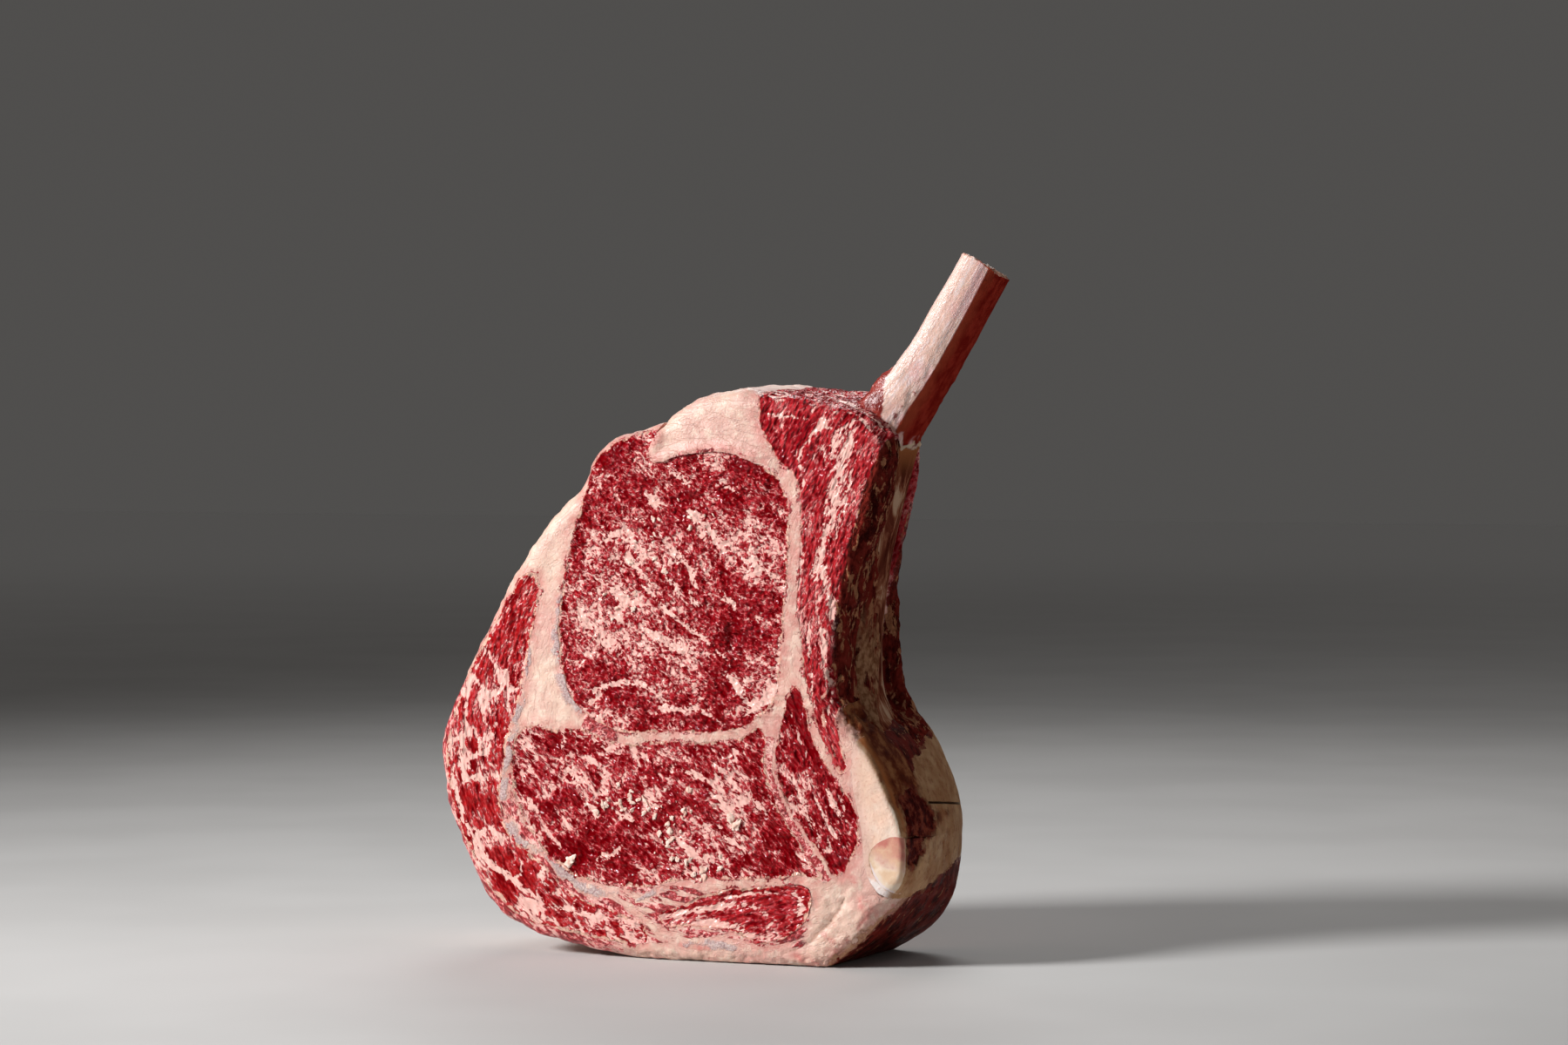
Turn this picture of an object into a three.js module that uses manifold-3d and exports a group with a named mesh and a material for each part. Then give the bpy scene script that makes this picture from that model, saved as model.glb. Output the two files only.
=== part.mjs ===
// Raw bone-in rib steak, standing on its cut chine edge with the frenched rib up.
// Millimetres, +Z up. The cut face looks along -Y, the rib runs up the +X side,
// and the origin is on the floor under the middle of the whole outline.
import * as THREE from "three";
import { mergeVertices } from "three/addons/utils/BufferGeometryUtils.js";
import Module from "manifold-3d";

const wasm = await Module();
wasm.setup();

// Driving dimensions
const THICKNESS = 64; // from one cut face to the other
const RIM_RADIUS = 6; // rounding between a cut face and the outer side
const LEAN_SINK = 0.4; // cut lean lies this much lower than the fat round it
const GAP = 0.3; // clearance between neighbouring solids
const AROUND = 92; // points round the steak's outline
const FACE_CENTRE = new THREE.Vector2(5, 96);
const RIB_WIDTH = 30; // along the steak's thickness
const RIB_PROUD = 2.5; // how far the rib stands out of the inner side
const CHANNEL_DEPTH = 5; // hollow in the meat behind the rib
const SPACING = 6; // length of the straight runs that the muscle outlines are made of
const TO_MIDDLE = 3.2; // sideways move that puts the whole outline's middle on the origin

// The cut face's outline, clockwise from the shoulder beside the fat flap. Each point
// is x, z on the front face, then how far the back face's outline lies from it.
const OUTLINE = [
  [-47.5, 176.6, 2, 2], [-41.5, 184.3, 2, 2], [-32.8, 188.9, 1, 2], [-20.3, 192.3, 0, 2],
  [-9.1, 199.4, 0, 3], [-0.1, 203.0, 0, 3], [12.6, 204.6, 0, 2], [25.9, 203.4, 0, 2],
  [39.0, 201.0, -1, 4], [51.5, 198.0, -3, 5], [61.9, 193.2, -6, 5], [67.3, 186.4, -8, 3],
  [67.1, 178.5, -8, 0], [61.3, 157.7, -6, 0], [55.4, 143.9, -3, 0], [50.5, 127, 1, 0],
  [47.9, 110, 5, 0], [47.9, 98, 6.5, 0], [51.0, 89, 7.5, 0], [57.1, 81.7, 7, 0],
  [63.6, 72.7, 4.5, 0], [68.8, 61.6, 4, 0], [73.0, 51.6, 2, 0], [74.3, 42.5, 1, 0],
  [73.0, 31.1, 1.5, -2], [65.9, 20.6, 6, -2], [57.1, 10.5, 7, -2], [48, 2.6, 5, -1],
  [41.5, -1, 6, 0], [25.8, -1, 3, 0], [2.5, -1, 0, 0], [-21, -1, -2, 0],
  [-38.2, 1.0, -3, 0], [-55.3, 3.7, -3, 1], [-69.2, 7.4, -3, 1], [-81.4, 13, -3, 2],
  [-90.8, 24.4, -3, 2], [-97.1, 36.9, -2, 2], [-103.4, 51, -1, 2], [-106.2, 65.3, 0, 1],
  [-106.5, 76.4, 0, 0], [-103.3, 87.7, 0, 0], [-97, 100.6, 0, 0], [-89.9, 114.4, 0, 0],
  [-81.1, 131.1, 1, 1], [-72.4, 145.4, 2, 1], [-63.7, 156.6, 2, 1], [-55.8, 164.5, 2, 1],
  [-50.2, 169.8, 2, 2],
];

// Muscles where the face cuts them, as x, z
const EYE = [
  [-44.1, 180], [-37.3, 185.3], [-27.7, 188.6], [-20.9, 190.2], [-19.8, 187.5],
  [-23.6, 181.6], [-20.5, 179.4], [-12.9, 181], [0.2, 183.2], [11.3, 182],
  [19.6, 178.3], [26.8, 173.1], [30.1, 166.4], [31.1, 152.8], [30.5, 139],
  [28.8, 125.4], [28.2, 111.8], [26.8, 99.7], [23.9, 91.9], [18.6, 87.5],
  [11.2, 84], [0, 82.4], [-16, 82.2], [-33, 81.6], [-41.5, 84.3],
  [-49, 88.7], [-53.5, 93.7], [-56.9, 104.7], [-58.6, 118.8], [-55.1, 140.9],
  [-51.7, 155.1], [-48.2, 166.1],
];
const CAP = [
  [-58.7, 81.6], [-49, 82.3], [-41, 79.5], [-33, 77.6], [-16, 78.8], [0, 79],
  [12.6, 81], [19.9, 84.2], [22.5, 80.1], [21.9, 72.1], [23.9, 63.2], [28.2, 53.7],
  [34.8, 44.1], [40.4, 36], [44, 32.2], [37.1, 32], [18.5, 30.6], [3.8, 30.1],
  [-10.9, 28.6], [-27.9, 25.7], [-41.2, 26.4], [-52.5, 29.4], [-61.2, 35.1],
  [-69.8, 44.9], [-75.7, 56.7], [-77.4, 67.4], [-75.7, 77.3], [-69.8, 82.6],
];
const OUTER = [
  [-67.9, 138.2], [-72.4, 137.5], [-81.2, 124.7], [-90.6, 109.3], [-96.3, 96.8],
  [-101.2, 83.3], [-103.7, 73.3], [-102.7, 61.2], [-99.5, 48.9], [-92.9, 35.1],
  [-85.6, 23], [-75.8, 15.1], [-64.3, 10.6], [-50.9, 8], [-36.4, 6.1],
  [-24, 6.4], [-25, 12.8], [-37.5, 17.1], [-49.1, 20.7], [-56.7, 25.4],
  [-64.3, 32.7], [-73.7, 39.3], [-79.6, 46.1], [-81.6, 56.5], [-80.4, 67.4],
  [-78.4, 77.9], [-75.7, 86.8], [-71.8, 102.8], [-69, 114.8], [-65.9, 133.8],
];
const STRAP = [
  [-18.7, 16], [-11, 19.8], [0.2, 24.6], [14.9, 27.4], [29.8, 28.6], [37.7, 28.6],
  [39.4, 22.9], [37.1, 16.4], [31.5, 11.5], [20.5, 7.2], [14.2, 9.6], [7.5, 12.2],
  [-7.2, 12.8], [-16, 12.2],
];
const MULTIFIDUS = [
  [33.4, 99.6], [30.8, 97.3], [29.5, 92.1], [27.4, 84], [26, 76.5], [26, 70.9],
  [27.6, 63.9], [31.5, 55.7], [37.9, 46.4], [44.3, 38.6], [47.3, 33], [50.9, 33.6],
  [54.1, 38], [56.8, 43.7], [57.4, 48.9], [56.1, 55], [53.5, 61.1], [49.5, 65.6],
  [45.5, 71.6], [42, 77], [39, 83.7], [36.9, 93.5],
];
// The meat between the ribs runs out past the outline, which trims it
const INTERCOSTAL = [
  [19.6, 194.4], [22.5, 186.7], [28.2, 178.4], [33.8, 172.9], [35.4, 160.6],
  [34.8, 145.2], [34.1, 126.7], [35.8, 114.4], [37, 103.7], [39.2, 96], [41.2, 86.8],
  [45, 78.3], [48.2, 71.3], [50.2, 69], [52.5, 69.7], [52.4, 74], [49.8, 82.5],
  [49.4, 92], [62, 100], [66, 127], [76, 158], [84, 184], [72, 214], [44, 218],
  [22, 214],
];
// Behind the rib the same meat reaches further down
const HEEL = [
  [44, 96], [46.5, 80], [52, 68], [60, 62], [74, 64], [94, 72], [94, 104], [60, 108],
];

// Bones. The rib's line is x, z with its half thickness and half width.
const RIB = [
  [94.6, 249.8, 7.2, 15.5], [89, 240.2, 7.4, 15.2], [83.3, 230.7, 7.7, 15.2],
  [75.7, 217.8, 7.8, 15.4], [69, 208, 8.4, 16.2], [62.4, 198.5, 8.8, 17.2],
  [57.4, 188, 8, 17], [54.6, 175, 7.2, 16], [51.1, 160, 6.8, 15], [47.8, 144, 6.6, 15],
  [45.3, 125, 6.6, 15], [44.1, 109, 6.7, 15], [44.6, 96, 7, 15], [48.4, 84, 7.6, 15],
  [55.2, 73.5, 7.4, 14], [60.4, 66, 5.6, 11],
];
const FACET = [
  [61.3, 39.4], [63.2, 44.2], [67.2, 46.6], [72, 47.5], [80, 43], [80, 34],
  [73.5, 26.6], [68.5, 28.2], [63.9, 32.3],
];
const CHINE_FRONT = [
  [57, 82], [55, 75], [54.8, 67], [56.5, 58], [58.4, 48], [59.2, 39], [62.2, 30.5],
  [67.5, 26], [73, 24.5], [86, 24], [86, 80], [72, 83],
];
const CHINE_BACK = [
  [60, 70], [57, 60], [58, 48], [61, 39], [68, 33], [90, 33], [90, 76], [70, 74],
];
const CHINE_TILT = 0.28; // the back half climbs towards the back face

const materials = {
  lean: new THREE.MeshStandardMaterial({ color: 0xa3202f, roughness: 0.45, metalness: 0 }),
  darkLean: new THREE.MeshStandardMaterial({ color: 0x7d1a26, roughness: 0.5, metalness: 0 }),
  fat: new THREE.MeshStandardMaterial({ color: 0xe9c9b3, roughness: 0.55, metalness: 0 }),
  bone: new THREE.MeshStandardMaterial({ color: 0xe6b9a6, roughness: 0.45, metalness: 0 }),
  cartilage: new THREE.MeshStandardMaterial({ color: 0xe9d8c4, roughness: 0.4, metalness: 0 }),
};

// Solids to and from meshes
function solidOf(geometry) {
  const bare = geometry.clone();
  bare.deleteAttribute("normal");
  bare.deleteAttribute("uv");
  const merged = mergeVertices(bare, 1e-4);
  const mesh = new wasm.Mesh({
    numProp: 3,
    vertProperties: merged.getAttribute("position").array,
    triVerts: new Uint32Array(merged.index.array),
  });
  return new wasm.Manifold(mesh);
}

function meshOf(name, solid, material) {
  const { vertProperties, triVerts } = solid.getMesh();
  const geometry = new THREE.BufferGeometry()
    .setAttribute("position", new THREE.BufferAttribute(vertProperties, 3))
    .setIndex(new THREE.BufferAttribute(triVerts, 1))
    .translate(TO_MIDDLE, 0, 0);
  geometry.computeVertexNormals();
  const mesh = new THREE.Mesh(geometry, material);
  mesh.name = name;
  return mesh;
}

// A closed skin over rows of points; the first and last rows are single points
function skin(rows) {
  const points = rows.flat();
  const index = [];
  let start = 0;
  for (let r = 0; r + 1 < rows.length; r++) {
    const here = rows[r].length;
    const next = rows[r + 1].length;
    const count = Math.max(here, next);
    for (let i = 0; i < count; i++) {
      const j = (i + 1) % count;
      const a = start + (i % here);
      const b = start + (j % here);
      const c = start + here + (i % next);
      const d = start + here + (j % next);
      if (here > 1) index.push(a, b, c);
      if (next > 1) index.push(b, d, c);
    }
    start += here;
  }
  return new THREE.BufferGeometry().setFromPoints(points).setIndex(index);
}

// Smooth closed line through x, z pairs
function closedCurve(pairs) {
  const points = pairs.map(([x, z]) => new THREE.Vector3(x, 0, z));
  return new THREE.CatmullRomCurve3(points, true, "centripetal");
}

// Soft unevenness of cut meat, from -1 to 1, with bumps about 20 to 50 mm apart
function unevenness(x, y, z) {
  const broad = Math.sin(0.13 * x + 0.09 * z + 1.7) * Math.cos(0.11 * z - 0.07 * y);
  const small = Math.sin(0.31 * x - 0.17 * y + 0.6) * Math.sin(0.27 * z + 0.22 * y + 2.1);
  return 0.6 * broad + 0.4 * small;
}

const smooth = THREE.MathUtils.smoothstep;

// How far the inner side rises or falls at depth y and height z: a lip of meat in front
// of the rib, the rib's bed, the hollow behind it, and the rounded chine below
function sideSwell(y, z) {
  const half = RIB_WIDTH / 2;
  const beside = smooth(z, 78, 92) * (1 - smooth(z, 186, 200));
  const lip = 2 * smooth(y, -2 * half, -24) * (1 - smooth(y, -half - 1, -half + 3));
  const bed = RIB_PROUD * smooth(y, -half - 1, -half + 3) * (1 - smooth(y, half - 2, half + 1));
  const channel = CHANNEL_DEPTH * smooth(y, half - 2, half + 1.5) * (1 - smooth(y, 20, 24.5));
  const chine = 2 * smooth(y, -32, -12) * (1 - smooth(y, 12, 32));
  const below = (1 - smooth(z, 70, 90)) * smooth(z, 14, 40);
  return beside * (lip - bed - channel) + below * chine;
}

// One loop of the steak's outline at depth y, pulled in by inset and shrunk by share
const outlineFront = closedCurve(OUTLINE);
const outlineShift = closedCurve(OUTLINE.map(([, , dx, dz]) => [dx, dz]));
const RIGHT_SIDE = 40; // the inner side lies past this x

function outlineLoop(y, inset, share = 1) {
  const depth = y / THICKNESS + 0.5;
  const loop = [];
  for (let i = 0; i < AROUND; i++) {
    const t = outlineFront.getUtoTmapping(i / AROUND);
    const p = outlineFront.getPoint(t).addScaledVector(outlineShift.getPoint(t), depth);
    const along = outlineFront.getTangent(t);
    const outward = new THREE.Vector3(-along.z, 0, along.x);
    p.addScaledVector(outward, 0.7 * unevenness(p.x, y, p.z) - inset);
    const inner = smooth(p.x, RIGHT_SIDE, RIGHT_SIDE + 8);
    p.x += inner * sideSwell(y, p.z) * share;
    p.z = Math.max(p.z, 0);
    const x = FACE_CENTRE.x + (p.x - FACE_CENTRE.x) * share;
    const z = FACE_CENTRE.y + (p.z - FACE_CENTRE.y) * share;
    const face = Math.sign(y) * 0.5 * unevenness(x, y, z) * (1 - share * share);
    loop.push(new THREE.Vector3(x, y + face, z));
  }
  return loop;
}

// The steak without its rib, as one solid; sink pulls both cut faces in
function envelope(sink) {
  const half = THICKNESS / 2 - sink;
  const faceShares = [0.3, 0.58, 0.82];
  const rimSteps = [0, 0.5, 1];
  const sideDepths = [-20, -16, -12, 0, 12.5, 16.5, 20, 24.5];
  const face = (end) => faceShares.map((s) => outlineLoop(end * half, RIM_RADIUS, s));
  const rim = (end) =>
    rimSteps.map((s) => {
      const angle = (s * Math.PI) / 2;
      const back = RIM_RADIUS * (1 - Math.cos(angle));
      return outlineLoop(end * (half - back), RIM_RADIUS * (1 - Math.sin(angle)));
    });
  const middle = (end) => [new THREE.Vector3(FACE_CENTRE.x, end * half, FACE_CENTRE.y)];
  return solidOf(skin([
    middle(-1), ...face(-1), ...rim(-1),
    ...sideDepths.map((y) => outlineLoop(y, 0)),
    ...rim(1).reverse(), ...face(1).reverse(), middle(1),
  ]));
}

// Corner points of an outline, moved outward by grow with every side kept parallel
function corners(pairs, grow) {
  const curve = closedCurve(pairs);
  const count = Math.round(curve.getLength() / SPACING);
  const spaced = curve.getSpacedPoints(count).slice(0, count);
  const points = spaced.map((p) => new THREE.Vector2(p.x, p.z));
  if (!THREE.ShapeUtils.isClockWise(points)) points.reverse();
  return points.map((p, i) => {
    const into = p.clone().sub(points[(i + count - 1) % count]).normalize();
    const out = points[(i + 1) % count].clone().sub(p).normalize();
    const mitre = new THREE.Vector2(-into.y - out.y, into.x + out.x);
    return p.clone().addScaledVector(mitre, grow / (1 + into.dot(out)));
  });
}

// A straight run of an outline through the steak from y0 to y1, grown sideways. A tilt
// turns it about a level line through the middle of the chine.
function run(pairs, grow, y0 = -THICKNESS, y1 = THICKNESS, tilt = 0) {
  const shape = new THREE.Shape(corners(pairs, grow));
  const geometry = new THREE.ExtrudeGeometry(shape, { depth: y1 - y0, bevelEnabled: false });
  geometry.rotateX(Math.PI / 2).translate(0, y1 - 8, -52);
  return solidOf(geometry.rotateX(tilt).translate(0, 8, 52));
}

// The rib: a rounded oblong section swept down its curve, sawn square at the top
function rib(grow) {
  const along = (pick) => new THREE.CatmullRomCurve3(RIB.map(pick), false, "centripetal");
  const line = along(([x, z]) => new THREE.Vector3(x, 0, z));
  const sizes = along(([, z, half, width]) => new THREE.Vector3(half, width, z / 9));
  const steps = 25;
  const sides = 16;
  const flat = (v) => Math.sign(v) * Math.abs(v) ** 0.55;
  const rows = [];
  for (let k = 0; k <= steps; k++) {
    const t = k / steps;
    const down = line.getTangent(t);
    const across = new THREE.Vector3(down.z, 0, -down.x);
    const size = sizes.getPoint(t);
    const end = k === 0 ? -grow : k === steps ? grow : 0;
    const centre = line.getPoint(t).addScaledVector(down, end);
    const row = [];
    for (let i = 0; i < sides; i++) {
      const a = (2 * Math.PI * i) / sides;
      const lump = 1 + 0.02 * Math.sin(3 * a + 9 * t) + 0.015 * Math.sin(31 * t);
      row.push(centre.clone()
        .addScaledVector(across, flat(Math.cos(a)) * (size.x * lump + grow))
        .add(new THREE.Vector3(0, flat(Math.sin(a)) * (size.y * lump + grow), 0)));
    }
    if (k === 0) rows.push([centre]);
    rows.push(row);
    if (k === steps) rows.push([centre]);
  }
  return solidOf(skin(rows));
}

// The joint's end, which shows as an oval at the front corner
function jointEnd(grow) {
  return run(FACET, grow, -THICKNESS, 9 + grow);
}

// What is left of the sawn backbone: taller in front, lower behind
function chine(grow) {
  const front = run(CHINE_FRONT, grow, -THICKNESS, 4 + grow);
  return front.add(run(CHINE_BACK, grow, -10, THICKNESS, CHINE_TILT));
}

// The meat between the ribs, in front of the rib and behind it
function intercostal(grow) {
  return run(INTERCOSTAL, grow).add(run(HEEL, grow, 7 - grow));
}

// The saw cut that runs level across the chine's outer side
function sawCut() {
  const geometry = new THREE.BoxGeometry(11, 40, 0.9);
  geometry.rotateX(0.05).rotateY(-0.1).translate(76, 22, 54.4);
  return solidOf(geometry);
}

// The slit under the fat flap's tip, and the tear in the eye muscle
function slit() {
  const shape = new THREE.Shape();
  shape.moveTo(-18.6, 198);
  shape.lineTo(-19.6, 190.5);
  shape.lineTo(-23.8, 181.4);
  shape.lineTo(-21.8, 182.3);
  shape.lineTo(-17.2, 190.2);
  shape.lineTo(-14.2, 200);
  shape.closePath();
  const depth = THICKNESS * 0.55;
  const geometry = new THREE.ExtrudeGeometry(shape, { depth, bevelEnabled: false });
  return solidOf(geometry.rotateX(Math.PI / 2));
}

function tear() {
  const geometry = new THREE.SphereGeometry(1, 14, 10);
  geometry.scale(5.2, 4, 3).rotateY(0.55).translate(9.5, -THICKNESS / 2, 116);
  return solidOf(geometry);
}

const whole = envelope(0);
const sunk = envelope(LEAN_SINK);
const boneRoom = rib(GAP).add(chine(GAP)).add(jointEnd(GAP));
const chineSolid = chine(0).intersect(whole).subtract(rib(GAP)).subtract(jointEnd(GAP));
const jointSolid = jointEnd(0).intersect(whole).subtract(rib(GAP));

const muscles = [
  ["eye_muscle", (grow) => run(EYE, grow), materials.lean],
  ["cap_muscle", (grow) => run(CAP, grow), materials.lean],
  ["outer_muscle", (grow) => run(OUTER, grow), materials.lean],
  ["strap_muscle", (grow) => run(STRAP, grow), materials.lean],
  ["multifidus_muscle", (grow) => run(MULTIFIDUS, grow), materials.lean],
  ["intercostal_muscle", intercostal, materials.darkLean],
];

const steak = new THREE.Group();
let fat = whole.subtract(boneRoom).subtract(slit());
for (const [name, through, material] of muscles) {
  let solid = through(0).intersect(sunk).subtract(boneRoom);
  if (name === "eye_muscle") solid = solid.subtract(tear());
  fat = fat.subtract(through(GAP));
  steak.add(meshOf(name, solid, material));
}
steak.add(meshOf("fat", fat, materials.fat));
steak.add(meshOf("rib_bone", rib(0), materials.bone));
steak.add(meshOf("chine_bone", chineSolid.subtract(sawCut()), materials.bone));
steak.add(meshOf("joint_end", jointSolid, materials.cartilage));

export default steak;
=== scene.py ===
"""Raw bone-in rib steak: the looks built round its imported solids.

The shapes are worked out in millimetres in the row frame and set to metres at the end.
The shown cut face looks along -Y, the rib runs up the +X side, and +Z is up.
"""

import math

import bmesh
import bpy
import numpy as np
from mathutils import Matrix, Vector, kdtree, noise


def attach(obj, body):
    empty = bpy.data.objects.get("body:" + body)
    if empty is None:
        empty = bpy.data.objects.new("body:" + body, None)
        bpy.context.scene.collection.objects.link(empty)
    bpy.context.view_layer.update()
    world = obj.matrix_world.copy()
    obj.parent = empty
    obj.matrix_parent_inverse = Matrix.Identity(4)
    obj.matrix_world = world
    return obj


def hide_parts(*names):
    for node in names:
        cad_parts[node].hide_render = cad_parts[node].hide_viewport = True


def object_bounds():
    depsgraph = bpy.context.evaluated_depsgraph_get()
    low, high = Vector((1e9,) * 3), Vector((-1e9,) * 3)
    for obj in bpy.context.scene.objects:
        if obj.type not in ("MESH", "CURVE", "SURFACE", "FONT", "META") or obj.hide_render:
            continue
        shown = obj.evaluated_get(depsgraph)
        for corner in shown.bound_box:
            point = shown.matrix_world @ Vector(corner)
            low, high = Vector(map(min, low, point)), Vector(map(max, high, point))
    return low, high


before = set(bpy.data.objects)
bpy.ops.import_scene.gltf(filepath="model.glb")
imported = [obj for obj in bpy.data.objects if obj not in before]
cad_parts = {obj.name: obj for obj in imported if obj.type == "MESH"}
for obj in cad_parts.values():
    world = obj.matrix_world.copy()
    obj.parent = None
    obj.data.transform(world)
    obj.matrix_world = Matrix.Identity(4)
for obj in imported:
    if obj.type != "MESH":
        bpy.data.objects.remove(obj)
CAD_BOUNDS = [list(corner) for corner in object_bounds()]

# ---------------------------------------------------------------- sizes and outlines, mm
THICKNESS = 64.0  # from one cut face to the other
RIM = 6.0  # rounding between a cut face and the outer side
FACE_CENTRE = np.array([8.2, 96.0])
FACE_SHARES = (0.2, 0.4, 0.6, 0.8, 0.92)  # sizes of the loops that fill a cut face
TO_MIDDLE = 3.2  # sideways move that puts the whole outline's middle on the origin
RIB_HALF_WIDTH = 15.0
CHINE_TILT = 0.28  # the back half of the back bone climbs towards the back face
CHINE_PIVOT = np.array([0, 8, 52])
FINE = 0.85  # spacing of the meat's surface points
BEYOND = 40.0  # cutting tools that go right through end this far in front and behind

# The cut face's outline: x, z on the front face, then how far the back face's lies from it
OUTLINE = [
    (-47.5, 176.6, 2, 2), (-41.5, 184.3, 2, 2), (-32.8, 188.9, 1, 2), (-20.3, 192.3, 0, 2),
    (-9.1, 199.4, 0, 3), (-0.1, 203.0, 0, 3), (12.6, 204.6, 0, 2), (25.9, 203.4, 0, 2),
    (39.0, 201.0, -1, 4), (51.5, 198.0, -3, 5), (61.9, 193.2, -6, 5), (67.3, 186.4, -8, 3),
    (67.1, 178.5, -8, 0), (61.3, 157.7, -6, 0), (55.4, 143.9, -3, 0), (50.5, 127, 1, 0),
    (47.9, 110, 5, 0), (47.9, 98, 6.5, 0), (51.0, 89, 7.5, 0), (57.1, 81.7, 7, 0),
    (63.6, 72.7, 4.5, 0), (68.8, 61.6, 4, 0), (73.0, 51.6, 2, 0), (74.3, 42.5, 1, 0),
    (73.0, 31.1, 1.5, -2), (65.9, 20.6, 6, -2), (57.1, 10.5, 7, -2), (48, 2.6, 5, -1),
    (41.5, -1, 6, 0), (25.8, -1, 3, 0), (2.5, -1, 0, 0), (-21, -1, -2, 0),
    (-38.2, 1.0, -3, 0), (-55.3, 3.7, -3, 1), (-69.2, 7.4, -3, 1), (-81.4, 13, -3, 2),
    (-90.8, 24.4, -3, 2), (-97.1, 36.9, -2, 2), (-103.4, 51, -1, 2), (-106.2, 65.3, 0, 1),
    (-106.5, 76.4, 0, 0), (-103.3, 87.7, 0, 0), (-97, 100.6, 0, 0), (-89.9, 114.4, 0, 0),
    (-81.1, 131.1, 1, 1), (-72.4, 145.4, 2, 1), (-63.7, 156.6, 2, 1), (-55.8, 164.5, 2, 1),
    (-50.2, 169.8, 2, 2),
]
# Muscles where the face cuts them, as x, z
EYE = [
    (-44.1, 180), (-37.3, 185.3), (-27.7, 188.6), (-20.9, 190.2), (-19.8, 187.5),
    (-23.6, 181.6), (-20.5, 179.4), (-12.9, 181), (0.2, 183.2), (11.3, 182),
    (19.6, 178.3), (26.8, 173.1), (30.1, 166.4), (31.1, 152.8), (30.5, 139),
    (28.8, 125.4), (28.2, 111.8), (26.8, 99.7), (23.9, 91.9), (18.6, 87.5),
    (11.2, 84), (0, 82.4), (-16, 82.2), (-33, 81.6), (-41.5, 84.3), (-49, 88.7),
    (-53.5, 93.7), (-56.9, 104.7), (-58.6, 118.8), (-55.1, 140.9), (-51.7, 155.1),
    (-48.2, 166.1),
]
CAP = [
    (-58.7, 81.6), (-49, 82.3), (-41, 79.5), (-33, 77.6), (-16, 78.8), (0, 79),
    (12.6, 81), (19.9, 84.2), (22.5, 80.1), (21.9, 72.1), (23.9, 63.2), (28.2, 53.7),
    (34.8, 44.1), (40.4, 36), (44, 32.2), (37.1, 32), (18.5, 30.6), (3.8, 30.1),
    (-10.9, 28.6), (-27.9, 25.7), (-41.2, 26.4), (-52.5, 29.4), (-61.2, 35.1),
    (-69.8, 44.9), (-75.7, 56.7), (-77.4, 67.4), (-75.7, 77.3), (-69.8, 82.6),
]
OUTER = [
    (-67.9, 138.2), (-72.4, 137.5), (-81.2, 124.7), (-90.6, 109.3), (-96.3, 96.8),
    (-101.2, 83.3), (-103.7, 73.3), (-102.7, 61.2), (-99.5, 48.9), (-92.9, 35.1),
    (-85.6, 23), (-75.8, 15.1), (-64.3, 10.6), (-50.9, 8), (-36.4, 6.1), (-24, 6.4),
    (-25, 12.8), (-37.5, 17.1), (-49.1, 20.7), (-56.7, 25.4), (-64.3, 32.7),
    (-73.7, 39.3), (-79.6, 46.1), (-81.6, 56.5), (-80.4, 67.4), (-78.4, 77.9),
    (-75.7, 86.8), (-71.8, 102.8), (-69, 114.8), (-65.9, 133.8),
]
STRAP = [
    (-18.7, 16), (-11, 19.8), (0.2, 24.6), (14.9, 27.4), (29.8, 28.6), (37.7, 28.6),
    (39.4, 22.9), (37.1, 16.4), (31.5, 11.5), (20.5, 7.2), (14.2, 9.6), (7.5, 12.2),
    (-7.2, 12.8), (-16, 12.2),
]
MULTIFIDUS = [
    (33.4, 99.6), (30.8, 97.3), (29.5, 92.1), (27.4, 84), (26, 76.5), (26, 70.9),
    (27.6, 63.9), (31.5, 55.7), (37.9, 46.4), (44.3, 38.6), (47.3, 33), (50.9, 33.6),
    (54.1, 38), (56.8, 43.7), (57.4, 48.9), (56.1, 55), (53.5, 61.1), (49.5, 65.6),
    (45.5, 71.6), (42, 77), (39, 83.7), (36.9, 93.5),
]
INTERCOSTAL = [
    (19.6, 194.4), (22.5, 186.7), (28.2, 178.4), (33.8, 172.9), (35.4, 160.6),
    (34.8, 145.2), (34.1, 126.7), (35.8, 114.4), (37, 103.7), (39.2, 96), (41.2, 86.8),
    (45, 78.3), (48.2, 71.3), (50.2, 69), (52.5, 69.7), (52.4, 74), (49.8, 82.5),
    (49.4, 92), (62, 100), (66, 127), (76, 158), (84, 184), (72, 214), (44, 218),
    (22, 214),
]
# Behind the rib the same meat reaches further down
HEEL = [
    (44, 96), (46.5, 80), (52, 68), (60, 62), (74, 64), (94, 72), (94, 104), (60, 108),
]
# The rib's line from its sawn end down: x, z, half thickness and half width
RIB = [
    (94.6, 249.8, 7.2, 15.5), (89, 240.2, 7.4, 15.2), (83.3, 230.7, 7.7, 15.2),
    (75.7, 217.8, 7.8, 15.4), (69, 208, 8.4, 16.2), (62.4, 198.5, 8.8, 17.2),
    (57.4, 188, 8, 17), (54.6, 175, 7.2, 16), (51.1, 160, 6.8, 15), (47.8, 144, 6.6, 15),
    (45.3, 125, 6.6, 15), (44.1, 109, 6.7, 15), (44.6, 96, 7, 15), (48.4, 84, 7.6, 15),
    (55.2, 73.5, 7.4, 14), (60.4, 66, 5.6, 11),
]
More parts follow.
